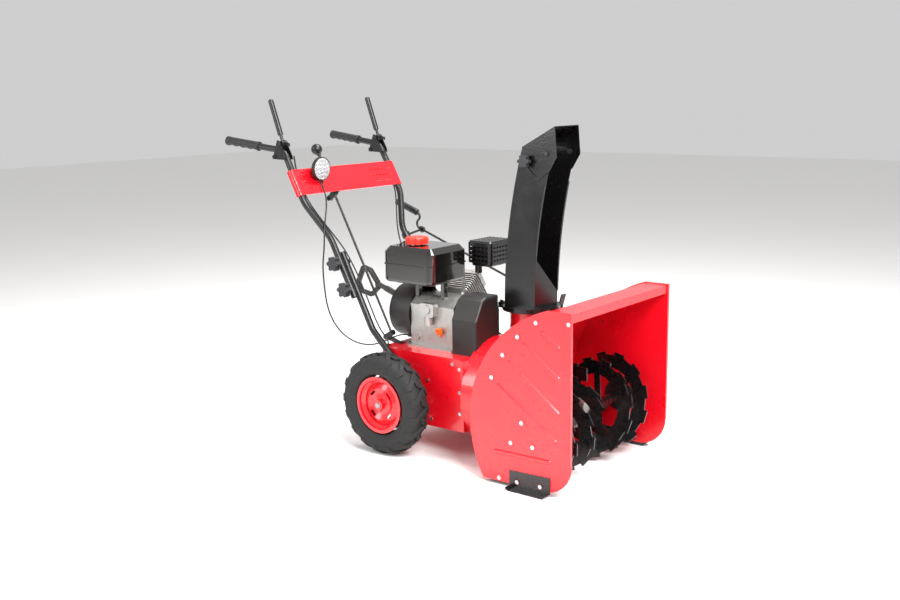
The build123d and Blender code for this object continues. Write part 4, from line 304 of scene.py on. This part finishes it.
cable = {"diameter": 0.005, "lampLength": 0.775, "clutchLength": 0.712}
lampRoute = (
    (-0.364, -0.150, 0.846), (-0.360, -0.150, 0.831), (-0.347, -0.152, 0.806), (-0.335, -0.162, 0.768),
    (-0.313, -0.192, 0.736), (-0.297, -0.215, 0.699), (-0.293, -0.222, 0.642), (-0.298, -0.228, 0.580),
    (-0.296, -0.226, 0.515), (-0.290, -0.224, 0.455), (-0.277, -0.215, 0.400), (-0.250, -0.195, 0.350),
    (-0.212, -0.168, 0.319), (-0.168, -0.142, 0.313), (-0.128, -0.126, 0.327), (-0.098, -0.106, 0.345),
    (-0.080, -0.078, 0.350), (-0.060, -0.078, 0.350),
)
clutchRoute = (
    (-0.416, 0.224, 0.938), (-0.413, 0.221, 0.890), (-0.390, 0.222, 0.842), (-0.364, 0.221, 0.795),
    (-0.338, 0.195, 0.737), (-0.311, 0.164, 0.682), (-0.281, 0.141, 0.630), (-0.247, 0.133, 0.572),
    (-0.212, 0.133, 0.512), (-0.179, 0.136, 0.455), (-0.150, 0.139, 0.402), (-0.122, 0.140, 0.362),
    (-0.098, 0.138, 0.344), (-0.097, 0.138, 0.326),
)


def laidCable(name, route, diameter):
    curve = bpy.data.curves.new(name, "CURVE")
    curve.dimensions = "3D"
    curve.bevel_depth = diameter / 2
    curve.bevel_resolution = 4
    curve.use_fill_caps = True
    spline = curve.splines.new("NURBS")
    spline.points.add(len(route) - 1)
    for point, place in zip(spline.points, route):
        point.co = (*place, 1)
    spline.order_u = 3
    spline.use_endpoint_u = True
    spline.resolution_u = 8
    piece = bpy.data.objects.new(name, curve)
    bpy.context.collection.objects.link(piece)
    curve.materials.append(cableSheath)
    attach(piece, "frame")
    return piece


lampCable = laidCable("lampCable", lampRoute, cable["diameter"])
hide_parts("lamp_cable")
mirroredRoute = [(x, -y, z) for x, y, z in clutchRoute]
clutchCables = [laidCable("augerClutchCable", clutchRoute, cable["diameter"]),
                laidCable("driveClutchCable", mirroredRoute, cable["diameter"])]
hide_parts("clutch_cables")
print("cables ready")

# tyres

tyre = {"halfWidth": 0.0440, "sectionRadius": 0.1245, "sectionHeight": 0.0325, "lugHeight": 0.0080,
        "lugCount": 17, "lugRoot": 0.002, "lugBevel": 0.0012, "sectionSteps": 56, "turnSteps": 120}
wheelCentre = Vector((-0.015, 0, 0.165))


def onCarcass(across, lift):
    # across runs from 0 at the crown to pi at the bead, signed by side
    bulge = math.copysign(abs(math.sin(across)) ** 0.8, across)
    height = math.copysign(abs(math.cos(across)) ** 0.85, math.cos(across))
    side = (tyre["halfWidth"] + 0.25 * lift) * bulge
    return side, tyre["sectionRadius"] + (tyre["sectionHeight"] + lift * abs(math.cos(across))) * height


def makeLugBlank():
    # a unit block with cuts across Y, so that it can follow the curve of the carcass
    blank = bmesh.new()
    bmesh.ops.create_cube(blank, size=1)
    crossing = [e for e in blank.edges if abs(e.verts[0].co.y - e.verts[1].co.y) > 0.5]
    bmesh.ops.subdivide_edges(blank, edges=crossing, cuts=5)
    mesh = bpy.data.meshes.new("lugBlank")
    blank.to_mesh(mesh)
    blank.free()
    return mesh


lugBlank = makeLugBlank()


def makeTyre(node):
    low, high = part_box(node)
    middle = (low + high)[1] / 2
    shape = bmesh.new()
    ring = []
    steps = tyre["sectionSteps"]
    for i in range(steps):
        across = -math.pi + 2 * math.pi * i / steps
        # raised bands on the sidewall
        band = 0.0016 if 1.75 < abs(across) < 1.9 or 2.3 < abs(across) < 2.5 else 0.0
        offset, radius = onCarcass(across, 0)
        ring.append(shape.verts.new((0, offset + math.copysign(band, across), radius)))
    edges = [shape.edges.new((ring[i], ring[(i + 1) % steps])) for i in range(steps)]
    bmesh.ops.spin(shape, geom=ring + edges, cent=(0, 0, 0), axis=(0, 1, 0), angle=2 * math.pi,
                   steps=tyre["turnSteps"], use_merge=True)
    bmesh.ops.remove_doubles(shape, verts=shape.verts, dist=1e-6)
    bmesh.ops.translate(shape, verts=shape.verts, vec=wheelCentre + Vector((0, middle, 0)))
    carcass = makePiece(node.replace("_", "") + "Carcass", shape, tyreRubber, "wheels", 60)
    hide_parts(node)

    tread = bmesh.new()
    pitch = 2 * math.pi / tyre["lugCount"]
    for row in (1, -1):
        for i in range(tyre["lugCount"]):
            for inner in (True, False):
                start = (i + (0.5 if row < 0 else 0)) * pitch
                first = len(tread.verts)
                tread.from_mesh(lugBlank)
                tread.verts.ensure_lookup_table()
                for vert in tread.verts[first:]:
                    along, across, top = vert.co.x, vert.co.y + 0.5, vert.co.z + 0.5
                    if inner:
                        # slanted bar from just over the crown to the shoulder
                        phi = -0.16 + 0.80 * across
                        slant = 0.34 * pitch * (across - 0.5) * 1.7
                        angle = start + slant + along * 0.40 * pitch * (1 - 0.16 * top)
                    else:
                        # block that wraps the shoulder
                        phi = 0.60 + 0.72 * across
                        width = (0.50 - 0.12 * across) * pitch * (1 - 0.16 * top)
                        angle = start + 0.30 * pitch + along * width
                    lift = tyre["lugHeight"] * top - tyre["lugRoot"] * (1 - top)
                    offset, radius = onCarcass(row * phi, lift)
                    vert.co = (radius * math.sin(angle), offset, radius * math.cos(angle))
    bmesh.ops.translate(tread, verts=tread.verts, vec=wheelCentre + Vector((0, middle, 0)))
    lugs = makePiece(node.replace("_", "") + "Tread", tread, tyreRubber, "wheels", 40)
    bevelled(lugs, tyre["lugBevel"])


makeTyre("tyre_right")
makeTyre("tyre_left")
print("tyres ready")

# handle grips

grip = {"radius": 0.0158, "ribs": 22, "ribHeight": 0.0009, "scallops": 4, "scallopDepth": 0.0030,
        "length": 0.150, "bore": 0.0113, "frontCollar": 0.012, "endCollar": 0.014, "turnSteps": 40}


def makeGrip(side, name):
    end = Vector((-0.702, side * 0.256, 0.985))
    way = (end - Vector((-0.450, side * 0.236, 0.955))).normalized()
    front = end + way * 0.004 - way * grip["length"]
    core = grip["radius"] - grip["ribHeight"]
    profile = [(0.0, grip["bore"]), (0.0, core - 0.001), (0.0015, core + 0.001), (0.006, core + 0.001),
               (0.0075, core - 0.001)]
    ribStart, ribEnd = grip["frontCollar"], grip["length"] - grip["endCollar"]
    for i in range(grip["ribs"]):
        at = ribStart + (ribEnd - ribStart) * i / grip["ribs"]
        step = (ribEnd - ribStart) / grip["ribs"]
        profile += [(at, core - 0.0006), (at + step * 0.3, core), (at + step * 0.55, core),
                    (at + step * 0.85, core - 0.0006)]
    tip = grip["length"]
    profile += [(tip - 0.012, core), (tip - 0.010, grip["radius"]), (tip - 0.003, grip["radius"]),
                (tip - 0.0006, grip["radius"] - 0.003), (tip, grip["radius"] - 0.006), (tip, 0.0)]
    shape = spunShape(profile, grip["turnSteps"])
    moveTo(shape, front, end)
    for vert in shape.verts:
        along = (vert.co - front).dot(way) / grip["length"]
        off = vert.co - front - way * (vert.co - front).dot(way)
        under = max(0.0, -off.z / 0.016)
        if 0.06 < along < 0.94 and off.length > 0.0125:
            # finger hollows along the underside
            wave = 0.5 - 0.5 * math.cos(2 * math.pi * grip["scallops"] * (along - 0.06) / 0.88)
            vert.co -= off.normalized() * grip["scallopDepth"] * wave * under
    return makePiece(name, shape, gripRubber, "frame", 50)


rightGrip = makeGrip(-1, "rightGrip")
makeGrip(1, "leftGrip")
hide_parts("handle_grips")
print("grips ready")

# chute edges

chuteEdge = {"foot": 0.4644, "leanRadius": 1.866, "front": 0.3665, "middleY": 0.100, "half": 0.065}


def chuteFront(height):
    rise = height - chuteEdge["foot"]
    return chuteEdge["front"] + chuteEdge["leanRadius"] - math.sqrt(chuteEdge["leanRadius"] ** 2 - rise ** 2)


lips = bmesh.new()
for side, low in ((-1, 0.628), (1, 0.506)):
    inner = chuteEdge["middleY"] + side * (chuteEdge["half"] - 0.0025)
    outer = chuteEdge["middleY"] + side * (chuteEdge["half"] + 0.0055)
    addBox(lips, (-0.0028, min(inner, outer), low), (0.0, max(inner, outer), 0.858))
upright = [e for e in lips.edges if abs(e.verts[0].co.z - e.verts[1].co.z) > 0.1]
bmesh.ops.subdivide_edges(lips, edges=upright, cuts=24)
for vert in lips.verts:
    vert.co.x += chuteFront(vert.co.z) + 0.0005
bevelled(makePiece("chuteLips", lips, chuteBlack, "chute"), 0.0008)
print("chute edges ready")
